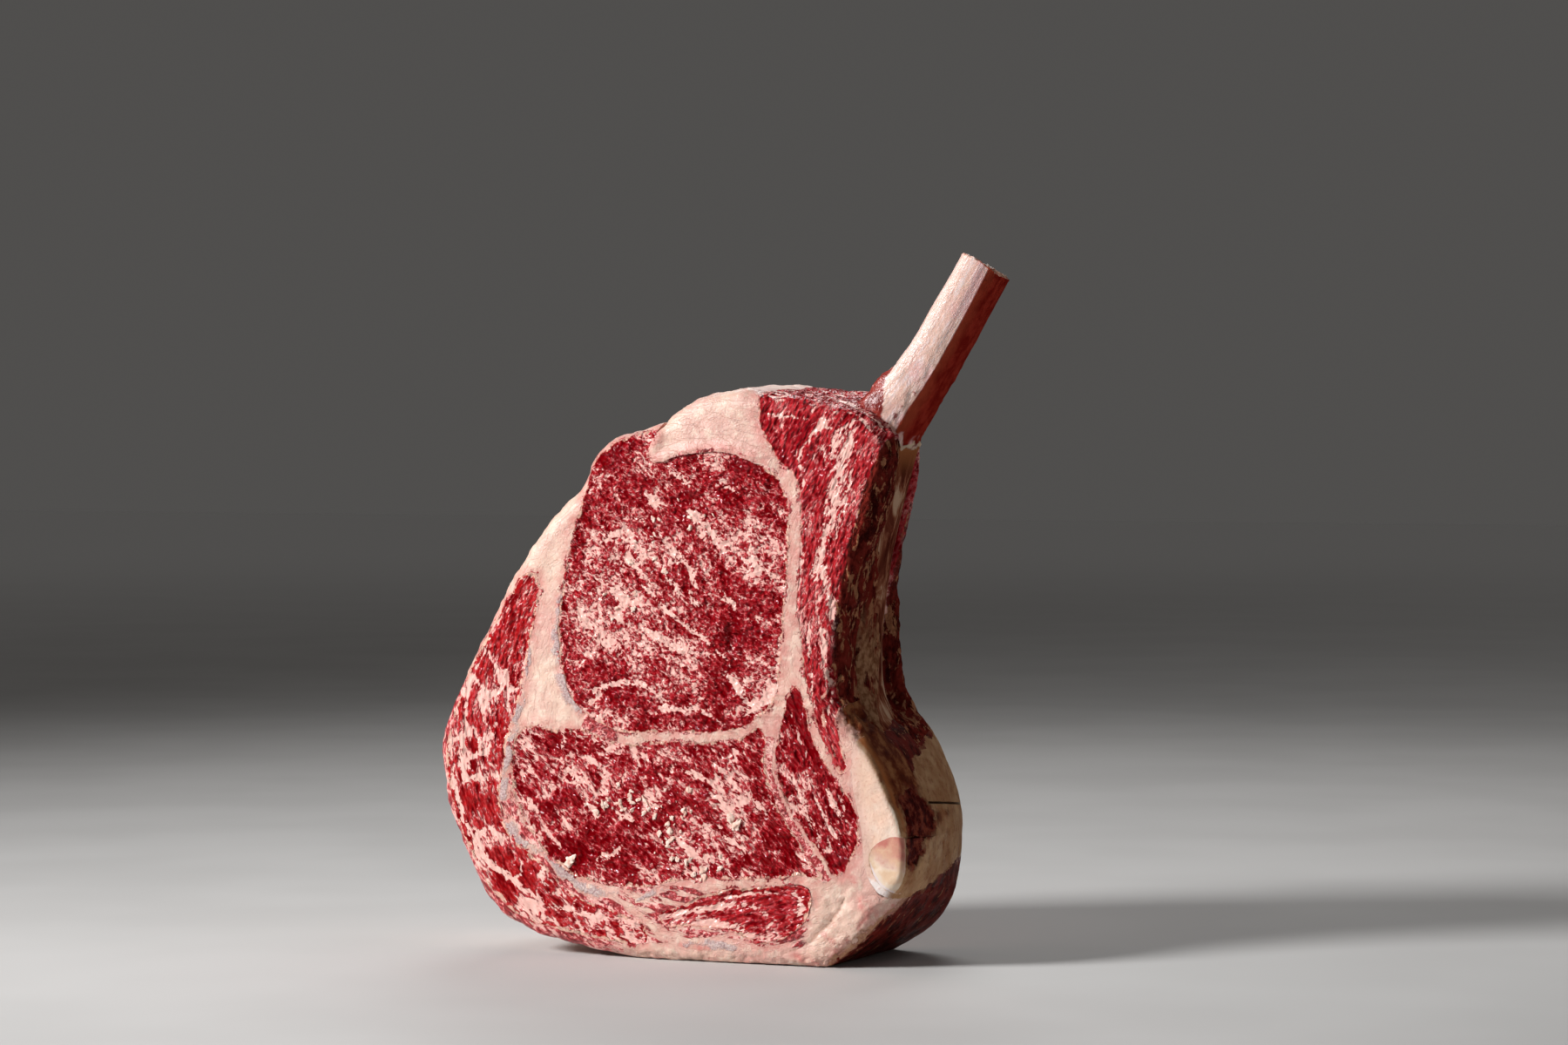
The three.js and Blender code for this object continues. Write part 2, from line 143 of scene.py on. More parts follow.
# The joint's disc, and the sawn back bone in its front and back half
FACET = [
    (61.3, 39.4), (63.2, 44.2), (67.2, 46.6), (72, 47.5), (80, 43), (80, 34),
    (73.5, 26.6), (68.5, 28.2), (63.9, 32.3),
]
CHINE_FRONT = [
    (57, 82), (55, 75), (54.8, 67), (56.5, 58), (58.4, 48), (59.2, 39), (62.2, 30.5),
    (67.5, 26), (73, 24.5), (86, 24), (86, 80), (72, 83),
]
CHINE_BACK = [
    (60, 72), (57, 60), (58, 48), (61, 39), (68, 33), (90, 33), (90, 79.5), (70, 77.5),
]
# The slit under the tip of the fat cap
SLIT = [(-10.4, 201), (-13.6, 190.0), (-18.9, 182.4), (-20.4, 181.6), (-16.2, 190.6), (-15.4, 199)]


# ---------------------------------------------------------------- curves and fields
def smooth(x, low, high):
    """0 up to `low`, 1 from `high` on, and a soft step between them."""
    t = np.clip((np.asarray(x, float) - low) / (high - low), 0, 1)
    return t * t * (3 - 2 * t)


def fall(x, low, high):
    """1 up to `low`, 0 from `high` on, and a soft step between them."""
    return 1 - smooth(x, low, high)


def spline(points, closed=True, per=40):
    """Points of a centripetal curve through the given rows, `per` to each row."""
    p1 = np.array(points, float)
    if closed:
        p0, p2, p3 = (np.roll(p1, -k, axis=0) for k in (-1, 1, 2))
    else:
        full = np.vstack([2 * p1[0] - p1[1], p1, 2 * p1[-1] - p1[-2]])
        p0, p1, p2, p3 = full[:-3], full[1:-2], full[2:-1], full[3:]

    def step(a, b):
        gap = np.sqrt(np.linalg.norm((b - a)[:, :2], axis=1))
        return np.maximum(gap, 1e-4)[:, None]

    d0, d1, d2 = step(p0, p1), step(p1, p2), step(p2, p3)
    m1 = ((p1 - p0) / d0 - (p2 - p0) / (d0 + d1) + (p2 - p1) / d1) * d1
    m2 = ((p2 - p1) / d1 - (p3 - p1) / (d1 + d2) + (p3 - p2) / d2) * d1
    t = (np.arange(per) / per)[None, :, None]
    a, b, c, d = (v[:, None, :] for v in (p1, p2, m1, m2))
    out = (
        (2 * t**3 - 3 * t**2 + 1) * a + (t**3 - 2 * t**2 + t) * c
        + (3 * t**2 - 2 * t**3) * b + (t**3 - t**2) * d
    )
    out = out.reshape(-1, p1.shape[1])
    return out if closed else np.vstack([out, p2[-1]])


def evenly(points, spacing, closed=True):
    """The same line, with its points evenly spaced along the first two columns."""
    line = np.vstack([points, points[:1]]) if closed else points
    run = np.concatenate([[0], np.cumsum(np.linalg.norm(np.diff(line[:, :2], axis=0), axis=1))])
    count = max(8, int(round(run[-1] / spacing)))
    at = np.linspace(0, run[-1], count + (0 if closed else 1), endpoint=not closed)
    return np.stack([np.interp(at, run, line[:, k]) for k in range(line.shape[1])], axis=1)


def bumps(points, size, seed, stretch=(1, 1, 1), octaves=3):
    """Uneven value from about -1 to 1 at each point, with lumps about `size` mm across."""
    scale = np.array([1 / (size * s) for s in stretch])
    rows = (points * scale + seed * 17.31).tolist()
    return np.array([noise.fractal(r, 0.9, 2.1, octaves) for r in rows])


def stroke_field(points, strokes):
    """How near each point is to any stroke: 1 on its line, 0.5 at its edge, and 0 from twice
    as far out. A stroke is a list of points and the half widths at its start, middle and end."""
    best = np.zeros(len(points))
    for line, widths in strokes:
        line = evenly(spline(line, closed=False, per=12), 0.5, closed=False)
        share = np.linspace(0, 1, len(line))
        width = np.interp(share, [0, 0.5, 1], widths)
        pad = 2 * max(widths) + 1
        near = np.all((points > line.min(0) - pad) & (points < line.max(0) + pad), axis=1)
        some = points[near]
        if not len(some):
            continue
        gap = np.linalg.norm(some[:, None, :] - line[None], axis=2)
        value = (1 - gap / (2 * width[None])).max(axis=1)
        best[near] = np.maximum(best[near], value)
    return best


def nearest(points, line):
    """Distance from each point to the closest point of a line, in two coordinates."""
    tree = kdtree.KDTree(len(line))
    for i, (x, z) in enumerate(line):
        tree.insert((x, z, 0), i)
    tree.balance()
    return np.array([tree.find((x, z, 0))[2] for x, z in points.tolist()])


def region(points, outline, soft):
    """1 inside a closed outline of the same two coordinates, 0 outside, 0.5 on its line."""
    line = evenly(np.array(outline, float), 0.6)
    x, y = points.T
    inside = np.zeros(len(points), bool)
    for (x0, y0), (x1, y1) in zip(line, np.roll(line, -1, axis=0)):
        if y0 != y1:
            inside ^= ((y0 > y) != (y1 > y)) & (x < (x1 - x0) * (y - y0) / (y1 - y0) + x0)
    near = np.all((points > line.min(0) - 2 * soft) & (points < line.max(0) + 2 * soft), axis=1)
    gap = np.full(len(points), 2 * soft)
    gap[near] = nearest(points[near], line)
    return np.clip(0.5 + np.where(inside, gap, -gap) / (2 * soft), 0, 1)


# ---------------------------------------------------------------- meshes
def mesh_object(name, verts, faces):
    """A new mesh object in the scene."""
    mesh = bpy.data.meshes.new(name)
    mesh.from_pydata(np.asarray(verts, float).tolist(), [], faces)
    mesh.validate()
    made = bpy.data.objects.new(name, mesh)
    bpy.context.scene.collection.objects.link(made)
    return made


def points_of(obj):
    co = np.empty(len(obj.data.vertices) * 3, np.float32)
    obj.data.vertices.foreach_get("co", co)
    return co.reshape(-1, 3).astype(float)


def normals_of(obj):
    n = np.empty(len(obj.data.vertices) * 3, np.float32)
    obj.data.vertex_normals.foreach_get("vector", n)
    return n.reshape(-1, 3).astype(float)


def move_points(obj, points):
    obj.data.vertices.foreach_set("co", points.astype(np.float32).ravel())
    obj.data.update()


def paint(obj, name, values):
    """Keeps one or three values per point as an attribute that the materials read."""
    values = np.asarray(values, np.float32)
    kind, field = ("FLOAT_VECTOR", "vector") if values.ndim == 2 else ("FLOAT", "value")
    obj.data.attributes.new(name, kind, "POINT").data.foreach_set(field, values.ravel())


def baked(obj):
    """The object with its modifiers made part of its mesh."""
    bpy.context.view_layer.update()
    ready = obj.evaluated_get(bpy.context.evaluated_depsgraph_get())
    mesh = bpy.data.meshes.new_from_object(ready)
    obj.modifiers.clear()
    obj.data = mesh
    return obj


def copy_of(obj, name):
    made = bpy.data.objects.new(name, obj.data.copy())
    bpy.context.scene.collection.objects.link(made)
    return made


def combine(obj, tool, operation):
    """The object after a Boolean operation with a tool, which is left as it is."""
    cut = obj.modifiers.new("cut", "BOOLEAN")
    cut.object, cut.operation, cut.solver = tool, operation, "MANIFOLD"
    return baked(obj)


def discard(*objs):
    for o in objs:
        bpy.data.objects.remove(o)


def skin(rows):
    """Vertices and faces of a closed skin over rings of points; single-point rows cap it."""
    verts, faces, start = np.vstack(rows), [], 0
    for here, after in zip(rows[:-1], rows[1:]):
        n, m = len(here), len(after)
        i = np.arange(max(n, m))
        j = (i + 1) % len(i)
        a, b, c, d = start + i % n, start + j % n, start + n + i % m, start + n + j % m
        if n == 1:
            faces += np.stack([a, d, c], axis=1).tolist()
        elif m == 1:
            faces += np.stack([a, b, c], axis=1).tolist()
        else:
            faces += np.stack([a, b, d, c], axis=1).tolist()
        start += n
    return verts, faces


# ---------------------------------------------------------------- the steak's whole form
def side_swell(y, z):
    """How far the rib side rises or falls: a lip in front of the rib, the rib's bed, the
    hollow behind it, and the rounded back bone below."""
    half = RIB_HALF_WIDTH
    beside = smooth(z, 78, 92) * fall(z, 186, 200)
    lip = 2 * smooth(y, -2 * half, -24) * fall(y, -half - 1, -half + 3)
    bed = 2.5 * smooth(y, -half - 1, -half + 3) * fall(y, half - 2, half + 1)
    channel = 5 * smooth(y, half - 2, half + 1.5) * fall(y, 20, 24.5)
    chine = 2 * smooth(y, -32, -12) * fall(y, 12, 32)
    below = fall(z, 70, 90) * smooth(z, 14, 40)
    return beside * (lip - bed - channel) + below * chine


def outline_loop(y, inset, share=1.0):
    """One loop of the steak's outline at depth y, pulled in by inset and shrunk by share."""
    line = evenly(spline(OUTLINE), 1.4)
    flat = line[:, :2] + line[:, 2:] * (y / THICKNESS + 0.5)
    along = np.roll(flat, -1, axis=0) - np.roll(flat, 1, axis=0)
    along /= np.linalg.norm(along, axis=1)[:, None]
    x, z = flat.T
    bony = smooth(x, 52, 58) * smooth(z, 26, 34) * fall(z, 76, 86)
    outward = np.stack([-along[:, 1], along[:, 0]], axis=1)
    x, z = (flat - outward * (inset * (1 - 0.7 * bony))[:, None]).T
    x = x + smooth(x, 40, 48) * side_swell(y, z) * share + TO_MIDDLE
    ring = np.stack([x, np.full(len(x), y), np.maximum(z, 0)], axis=1)
    ring[:, 0] = FACE_CENTRE[0] + (ring[:, 0] - FACE_CENTRE[0]) * share
    ring[:, 2] = FACE_CENTRE[1] + (ring[:, 2] - FACE_CENTRE[1]) * share
    return ring


def whole_form():
    """The steak without its rib: two cut faces, rounded rims and the outer side."""
    half = THICKNESS / 2

    def face_rows(toward):
        """A cut face from its middle out and round its rim; toward is -1 at the front."""
        rows = [np.array([[FACE_CENTRE[0], toward * half, FACE_CENTRE[1]]])]
        rows += [outline_loop(toward * half, RIM, share) for share in FACE_SHARES]
        for turn in np.linspace(0, math.pi / 2, 6):
            depth = half - RIM * (1 - math.cos(turn))
            rows.append(outline_loop(toward * depth, RIM * (1 - math.sin(turn))))
        return rows

    sides = [outline_loop(y, 0) for y in np.arange(-25, 25.5, 1.0)]
    form = mesh_object("form", *skin([*face_rows(-1), *sides, *face_rows(1)[::-1]]))
    remesh = form.modifiers.new("even", "REMESH")
    remesh.mode, remesh.voxel_size, remesh.use_smooth_shade = "VOXEL", FINE, True
    return baked(form)


def within_box(points):
    """The points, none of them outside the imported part's box."""
    low, high = np.array(CAD_BOUNDS) * 1000
    return np.clip(points, low, high)


def roughened(form):
    """Relief of the trimmed fat, the craggy dried side and the folded top."""
    p, n = points_of(form), normals_of(form)
    x, y, z = p.T
    face = smooth(np.abs(n[:, 1]), 0.6, 0.9)
    outside = 1 - face
    amount = 0.5 * bumps(p, 16, 1) + (0.35 - 0.2 * face) * bumps(p, 5, 2)
    # Knife marks that run from face to face on the trimmed fat
    knife = outside * fall(x, 34, 46)
    amount += knife * 0.55 * bumps(p, 6, 3, (1, 7, 1), 2)
    # Crags of dried meat in front of the rib and, weaker, behind it
    dried = outside * smooth(x, 42, 50) * smooth(z, 76, 90) * fall(z, 190, 202)
    strip = np.clip(smooth(-y, 11, 16) + 0.7 * smooth(y, 17, 22), 0, 1)
    crag = np.abs(bumps(p, 6.5, 4, (1, 1, 1.8), 4))
    amount += dried * strip * (1.5 * crag - 0.8 + 0.6 * bumps(p, 3, 5, (1, 1, 6), 2))
    # Folds of meat on the top beside the rib
    top = outside * smooth(x, 18, 30) * smooth(z, 186, 196)
    amount += top * (1.1 * np.abs(bumps(p, 6, 6, (3, 1, 1), 3)) - 0.7)
    # The bone is smoother than the meat, and the base stays flat
    bony = outside * smooth(x, 52, 60) * fall(z, 76, 88)
    amount *= 1 - 0.6 * bony
    amount *= smooth(z, 0.4, 4)
    move_points(form, within_box(p + n * np.minimum(amount, 0.9)[:, None]))
    return form


def wavy(outline, seed, amount=1.0):
    """A muscle's outline in the row frame, with the small bays of a natural edge."""
    line = evenly(spline(outline), 0.7)[:, :2] + [TO_MIDDLE, 0]
    if np.sum(line[:, 0] * np.roll(line[:, 1], -1) - np.roll(line[:, 0], -1) * line[:, 1]) > 0:
        line = line[::-1]
    along = np.roll(line, -1, axis=0) - np.roll(line, 1, axis=0)
    along /= np.linalg.norm(along, axis=1)[:, None]
    at = np.stack([line[:, 0], np.zeros(len(line)), line[:, 1]], axis=1)
    push = amount * (0.55 * bumps(at, 7, seed) + 0.35 * bumps(at, 2.4, seed + 1, octaves=2))
    return line + np.stack([-along[:, 1], along[:, 0]], axis=1) * push[:, None]


def prism(name, line, y0=-BEYOND, y1=BEYOND, tilt=0.0):
    """A straight run of an outline (clockwise seen from the front) from y0 to y1. A tilt
    turns it about a level line through the middle of the back bone."""
    n = len(line)
    front = np.stack([line[:, 0], np.full(n, y0), line[:, 1]], axis=1)
    back = front + [0, y1 - y0, 0]
    verts = np.vstack([front, back])
    if tilt:
        x, y, z = (verts - CHINE_PIVOT).T
        c, s = math.cos(tilt), math.sin(tilt)
        verts = CHINE_PIVOT + np.stack([x, y * c - z * s, y * s + z * c], axis=1)
    i = np.arange(n)
    j = (i + 1) % n
    faces = [i[::-1].tolist(), (n + i).tolist()]
    faces += np.stack([j, n + j, n + i, i], axis=1).tolist()
    return mesh_object(name, verts, faces)


def narrowed(tool, x, z):
    """The same prism, with its back end shrunk to a tenth round one place."""
    p = points_of(tool)
    back = p[:, 1] > 0
    p[back, 0] = x + 0.1 * (p[back, 0] - x)
    p[back, 2] = z + 0.1 * (p[back, 2] - z)
    move_points(tool, p)
    return tool


def saw_blade():
    """The thin tilted box that leaves the level saw cut in the back bone's side."""
    corners = np.array([(x, y, z) for x in (-1, 1) for y in (-1, 1) for z in (-1, 1)]) / 2.0
    spin = np.array(Matrix.Rotation(-0.1, 3, "X") @ Matrix.Rotation(-0.1, 3, "Y"))
    faces = [(0, 1, 3, 2), (4, 6, 7, 5), (0, 4, 5, 1), (2, 3, 7, 6), (0, 2, 6, 4), (1, 5, 7, 3)]
    return mesh_object("saw", (corners * (11, 33, 0.9)) @ spin.T + (79.2, 11.5, 56.0), faces)


# ---------------------------------------------------------------- strokes of fat, mm
# White fat that the photo shows in each muscle: x, z points, then the half widths at the
# start, middle and end
LINES_EYE = [
    ([(-23, 135), (-15, 128), (-8, 122), (0, 117), (7, 111), (12, 106)], (0.5, 0.9, 0.5)),
    ([(-21, 119), (-15, 115), (-8, 112), (-3, 112)], (0.8, 1.9, 0.8)),
    ([(10, 104), (13, 100), (17, 95), (22, 92)], (0.7, 1.5, 1.9)),
    ([(17, 89), (22, 92), (29, 98), (32, 104)], (0.8, 1.4, 0.8)),
    ([(-41, 96), (-37, 98), (-31, 99), (-23, 99), (-18, 97), (-13, 93)], (1.3, 1.2, 0.8)),
    ([(-15, 91), (-8, 90), (-1, 91), (4, 88), (9, 85)], (0.9, 1.2, 0.8)),
    ([(-43, 92), (-38, 96)], (0.8, 1.2, 1.0)),
    ([(-33, 133), (-30, 128)], (1.2, 2.2, 1.2)), ([(-27, 144), (-24, 140)], (0.9, 1.7, 0.9)),
    ([(-10, 146), (-6, 143)], (1.4, 2.3, 1.4)), ([(-20, 167), (-16, 163)], (1.4, 2.1, 1.2)),
    ([(-4, 161), (1, 157)], (1.2, 1.6, 1.0)), ([(3, 156), (6, 150)], (0.9, 1.5, 0.9)),
    ([(20, 144), (24, 140)], (1.2, 1.9, 1.2)), ([(-34, 123), (-30, 121)], (1, 1.6, 1)),
    ([(-46, 123), (-43, 119)], (1.1, 1.8, 1.1)), ([(-5, 141), (-1, 134)], (0.8, 1.3, 0.6)),
    ([(-4, 132), (0, 126)], (0.6, 1.4, 0.6)), ([(10, 131), (14, 127)], (1, 1.5, 1)),
    ([(-13, 138), (-8, 133)], (0.5, 1.1, 0.5)), ([(-38, 150), (-30, 154)], (0.6, 1.1, 0.6)),
    ([(-12, 176), (-4, 170)], (0.5, 1.1, 0.5)), ([(8, 172), (15, 168)], (0.6, 1.3, 0.6)),
]
LINES_CAP = [
    ([(-54, 75), (-53, 79), (-54, 84)], (0.6, 1.0, 1.4)),
    ([(-49, 81), (-42, 78), (-35, 75), (-28, 72)], (0.5, 0.7, 0.4)),
    ([(-44, 72), (-40, 70)], (0.7, 1.4, 0.7)), ([(-69, 58), (-65, 54), (-62, 50)], (0.6, 1.1, 0.6)),
    ([(-40, 35), (-35, 37), (-29, 41)], (0.9, 1.3, 0.7)), ([(-44, 55), (-40, 51)], (0.8, 1.3, 0.8)),
    ([(-52, 68), (-48, 62)], (0.5, 1.1, 0.5)), ([(-18, 56), (-11, 50)], (0.6, 1.3, 0.6)),
    ([(2, 62), (9, 57)], (0.5, 1.1, 0.5)), ([(-8, 44), (-2, 38)], (0.6, 1.4, 0.8)),
    ([(10, 45), (18, 40)], (0.6, 1.4, 0.6)), ([(-32, 52), (-26, 50)], (1, 1.6, 1)),
    ([(-6, 68), (2, 66)], (0.5, 1.2, 0.5)), ([(20, 60), (26, 52)], (0.5, 1, 0.5)),
]
LINES_OUTER = [
    ([(-100, 80), (-99, 73), (-98, 65), (-96, 58), (-94, 50), (-91, 44), (-88, 39), (-83, 33),
      (-76, 28), (-68, 23), (-59, 18), (-49, 16), (-38, 14)], (0.6, 1.3, 0.7)),
    ([(-94, 77), (-93, 69), (-92, 62)], (1.0, 1.6, 1.0)),
    ([(-91, 70), (-87, 72), (-83, 74)], (1.2, 1.6, 0.7)),
    ([(-93, 63), (-85, 63), (-82, 62)], (1.2, 0.9, 0.5)),
    ([(-88, 42), (-84, 45)], (1.3, 1.5, 0.6)), ([(-77, 103), (-75, 98), (-74, 95)], (0.5, 1.1, 0.6)),
    ([(-61, 32), (-62, 27), (-57, 23)], (0.5, 0.9, 0.5)), ([(-72, 27), (-70, 33)], (0.9, 0.7, 0.4)),
    ([(-84, 112), (-88, 103), (-91, 96)], (0.4, 0.7, 0.4)), ([(-80, 84), (-84, 76)], (0.5, 1, 0.5)),
    ([(-50, 17), (-47, 22)], (0.8, 0.6, 0.4)), ([(-97, 90), (-95, 84)], (0.5, 0.8, 0.5)),
    ([(-104, 62), (-101, 48), (-94, 36)], (0.4, 0.6, 0.4)),
]
LINES_MULTIFIDUS = [
    ([(35, 94), (37, 84), (42, 72)], (0.3, 0.5, 0.3)),
    ([(44, 60), (49, 52), (52, 46)], (0.6, 1.2, 0.6)),
    ([(48, 63), (53, 54)], (0.8, 1.4, 0.7)), ([(40, 56), (46, 46)], (0.6, 1.1, 0.6)),
    ([(49, 47), (50, 40)], (0.4, 0.9, 0.5)), ([(54, 60), (56, 52)], (0.4, 0.8, 0.4)),
    ([(36, 64), (41, 57)], (0.3, 0.5, 0.3)), ([(45, 44), (47, 38)], (0.4, 0.7, 0.4)),
]
LINES_INTERCOSTAL = [
    ([(58, 189), (55, 180), (52, 170), (49.5, 158), (46, 146), (44, 138)], (1.8, 3.2, 1.2)),
    ([(47, 184), (48, 177)], (1.3, 2.0, 1.2)), ([(39, 182), (42, 188), (47, 194)], (1.0, 1.7, 0.9)),
    ([(50, 180), (53, 188), (58, 193)], (1.3, 2.3, 1.2)),
    ([(47, 141), (49.5, 132), (51, 121)], (1.2, 2.4, 1.4)),
    ([(46, 124), (47, 112), (48.5, 102)], (0.7, 1.0, 1.5)),
    ([(41, 118), (42, 104), (44, 92)], (0.4, 0.7, 0.4)),
    ([(38, 160), (39, 146), (38, 132)], (0.4, 0.8, 0.4)),
    ([(25, 196), (40, 194), (52, 190)], (0.4, 0.7, 0.5)), ([(50, 98), (49, 90)], (0.4, 0.7, 0.4)),
    ([(36, 186), (39, 176), (39, 166)], (0.3, 0.7, 0.3)),
    ([(58, 176), (55, 164), (52, 152)], (0.4, 0.8, 0.5)),
]
LINES_STRAP = [
    ([(-16, 15), (-4, 18), (8, 20), (20, 21), (26, 18)], (1.0, 1.3, 0.7)),
    ([(-8, 12), (4, 14), (14, 13), (20, 10)], (0.8, 1.4, 1.1)),
    ([(8, 23), (20, 25), (30, 26)], (0.4, 0.8, 0.4)),
    ([(36, 26), (39, 21), (38, 17)], (1.0, 1.7, 1.0)), ([(26, 14), (31, 17)], (0.4, 0.8, 0.4)),
    ([(-12, 19), (0, 22)], (0.4, 0.7, 0.4)),
]
# Strokes on the fat: grey skin between the muscles, a crease, painted brown as shade, and red stains
GREY = [
    ([(-53, 134), (-55, 126), (-56, 118), (-55.5, 108), (-54, 102), (-51, 95), (-48, 90)],
     (1.0, 2.0, 2.6)),
    ([(-67, 120), (-67, 109), (-68, 101), (-69, 91)], (0.4, 0.9, 0.6)),
    ([(-72, 89), (-72, 81), (-74, 76), (-76, 69), (-77, 63), (-77, 57)], (2.0, 1.8, 1.4)),
    ([(-76, 48), (-72, 41)], (1.4, 2.6, 1.6)), ([(-70, 40), (-64, 38), (-59, 35)], (1.4, 1.8, 1.4)),
    ([(-57, 34), (-53, 30), (-50, 27)], (1.4, 2.0, 1.4)),
    ([(-48, 26), (-42, 24), (-37, 23), (-31, 24)], (1.4, 1.8, 0.8)),
    ([(-24, 21), (-18, 24), (-12, 26)], (0.5, 1.2, 0.6)),
    ([(-6, 6), (4, 6.5), (14, 5.5)], (0.8, 1.7, 0.8)),
]
CREASES = [([(31, 4), (40, 8), (47, 14), (52, 20), (55, 25)], (0.4, 0.7, 0.4))]
STAINS = [
    ([(61, 25), (63.5, 21.5), (66, 20)], (1.0, 1.8, 1.0)), ([(69, 19), (71, 23)], (0.6, 1.0, 0.5)),
    ([(37, 4), (40, 1.5), (45, 1)], (1.2, 2.0, 1.2)), ([(47, 12), (52, 9)], (0.6, 1.0, 0.6)),
    ([(56, 33), (60, 31)], (0.5, 1.0, 0.5)), ([(-8, 6), (4, 5)], (0.6, 1.2, 0.6)),
    ([(-38, 8), (-26, 5)], (0.5, 1.1, 0.6)), ([(24, 5), (30, 7)], (0.6, 1.0, 0.6)),
    ([(50, 4), (56, 10)], (0.7, 1.4, 0.7)), ([(60, 15), (65, 20)], (0.6, 1.2, 0.6)),
]
# How much fatter (or leaner) the meat is in places: x, z, reach and amount
PATCHES = [
    (-5, 170, 14, -0.14), (15, 168, 10, -0.16), (-36, 187, 10, -0.32), (-22, 143, 11, 0.10),
    (8, 148, 13, 0.10), (22, 138, 8, 0.08), (16, 122, 9, -0.16), (-38, 112, 12, 0.05),
    (-8, 104, 9, 0.06), (-28, 89, 9, -0.10), (8, 92, 9, -0.12), (-60, 68, 11, -0.06),
    (-30, 62, 10, 0.05), (2, 56, 16, 0.08), (-52, 40, 11, -0.10), (28, 40, 10, -0.12),
    (14, 72, 8, -0.08), (34, 186, 14, -0.24), (42, 150, 12, 0.04), (-92, 60, 9, -0.12),
    (53, 150, 6, -0.22), (50, 80, 8, -0.20), (47, 97, 7, -0.12), (-78, 100, 12, 0.08),
    (-60, 18, 12, -0.06), (-98, 40, 8, 0.12), (-74, 22, 7, 0.10),
]


# ---------------------------------------------------------------- pieces of the meat
def fibre_frame(angle):
    """Coordinates along and across fibres that lie at `angle` above +X, gently waved."""
    c, s = math.cos(angle), math.sin(angle)

    def frame_of(points):
        x, y, z = points.T
        sway = 3.0 * bumps(points, 38, 21, octaves=1)
        return np.stack([x * c + z * s, y, -x * s + z * c + sway], axis=1)

    return frame_of


def ring_frame(points):
    """Coordinates along and across fibres that follow the steak's rounded edge."""
    x, z = points[:, 0] - FACE_CENTRE[0], points[:, 2] - FACE_CENTRE[1] + 8
    turn = np.arctan2(-z, -x)
    return np.stack([turn * 92, points[:, 1], np.hypot(x, z * 1.04)], axis=1)


def upright_frame(points):
    """Coordinates along and across fibres that run up beside the rib."""
    bow = np.interp(points[:, 2], [60, 96, 125, 160, 200], [66, 49, 50, 58, 74])
    return np.stack([points[:, 2], points[:, 1], points[:, 0] - bow], axis=1)


# Each muscle's fibres, its strokes of white fat and how much fat runs through it
MUSCLES = {
    "eye": (fibre_frame(-0.62), LINES_EYE, 0.52),
    "cap": (fibre_frame(-0.70), LINES_CAP, 0.47),
    "outer": (ring_frame, LINES_OUTER, 0.41),
    "strap": (fibre_frame(0.22), LINES_STRAP, 0.50),
    "multifidus": (fibre_frame(-1.0), LINES_MULTIFIDUS, 0.30),
    "intercostal": (upright_frame, LINES_INTERCOSTAL, 0.45),
}

# Torn holes in the cut face: x, z, reach and depth
TEARS = [(12.7, 116, 2.0, 2.6), (5, 127, 1.1, 1.2), (11.5, 120, 1.0, 1.2), (17, 112, 1.2, 1.0)]

# x beyond which the rib meat's surface has dried, at each height
DRY_Z = [70, 95, 108, 126, 150, 170, 185, 200]
DRY_X = [62, 51, 49, 51, 56, 62, 68, 80]


def strayed(points, axes, amount, size, seed, octaves=3):
    """Two coordinates of each point, moved about so that what they paint has ragged edges."""
    moves = [bumps(points, size, seed + k, octaves=octaves) for k in (0, 1)]
    return points[:, axes] + amount * np.stack(moves, axis=1)


def spots_field(points, spots):
    """The sum of round soft spots, each given as x, z, reach and amount."""
    return np.sum([
        amount * np.exp(-((points[:, 0] - x) ** 2 + (points[:, 2] - z) ** 2) / (2 * reach ** 2))
        for x, z, reach, amount in spots], axis=0)


def finish_muscle(obj, line, frame_of, strokes, fatness):
    """Sinks and roughens the cut lean, and notes what the material needs to know."""
    p, n = points_of(obj), normals_of(obj)
    edge = nearest(p[:, [0, 2]], line)
    face = smooth(np.abs(n[:, 1]), 0.7, 0.95)
    fibres = frame_of(p)
    rough = 0.3 * bumps(fibres, 2.3, 31, (1.8, 1, 1), 3) + 0.25 * bumps(p, 8, 32)
    torn = spots_field(p, TEARS) * (p[:, 1] < 0)
    p += n * (face * smooth(edge, 0.15, 2.2) * (rough - 0.35 - torn))[:, None]
    move_points(obj, p)
    white = stroke_field(strayed(p, [0, 2], 0.9, 3.5, 34), strokes)
    white *= smooth(np.abs(p[:, 1]), 6, 20)
    flap = (1 - face) * smooth(p[:, 0], 12, 24) * smooth(p[:, 2], 184, 192)
    white = np.maximum(white, flap * smooth(-np.abs(bumps(p, 7, 36, (4, 1, 2), 2)), -0.16, -0.02))
    thick = fatness + 0.10 * bumps(p, 26, 33, octaves=2) + spots_field(p, PATCHES)
    dry = smooth(p[:, 0] - np.interp(p[:, 2], DRY_Z, DRY_X), -1.5, 2.5) * (p[:, 0] > 40)
    paint(obj, "fib", fibres)
    paint(obj, "edge", edge)
    paint(obj, "paint", np.stack([white, thick, dry], axis=1))


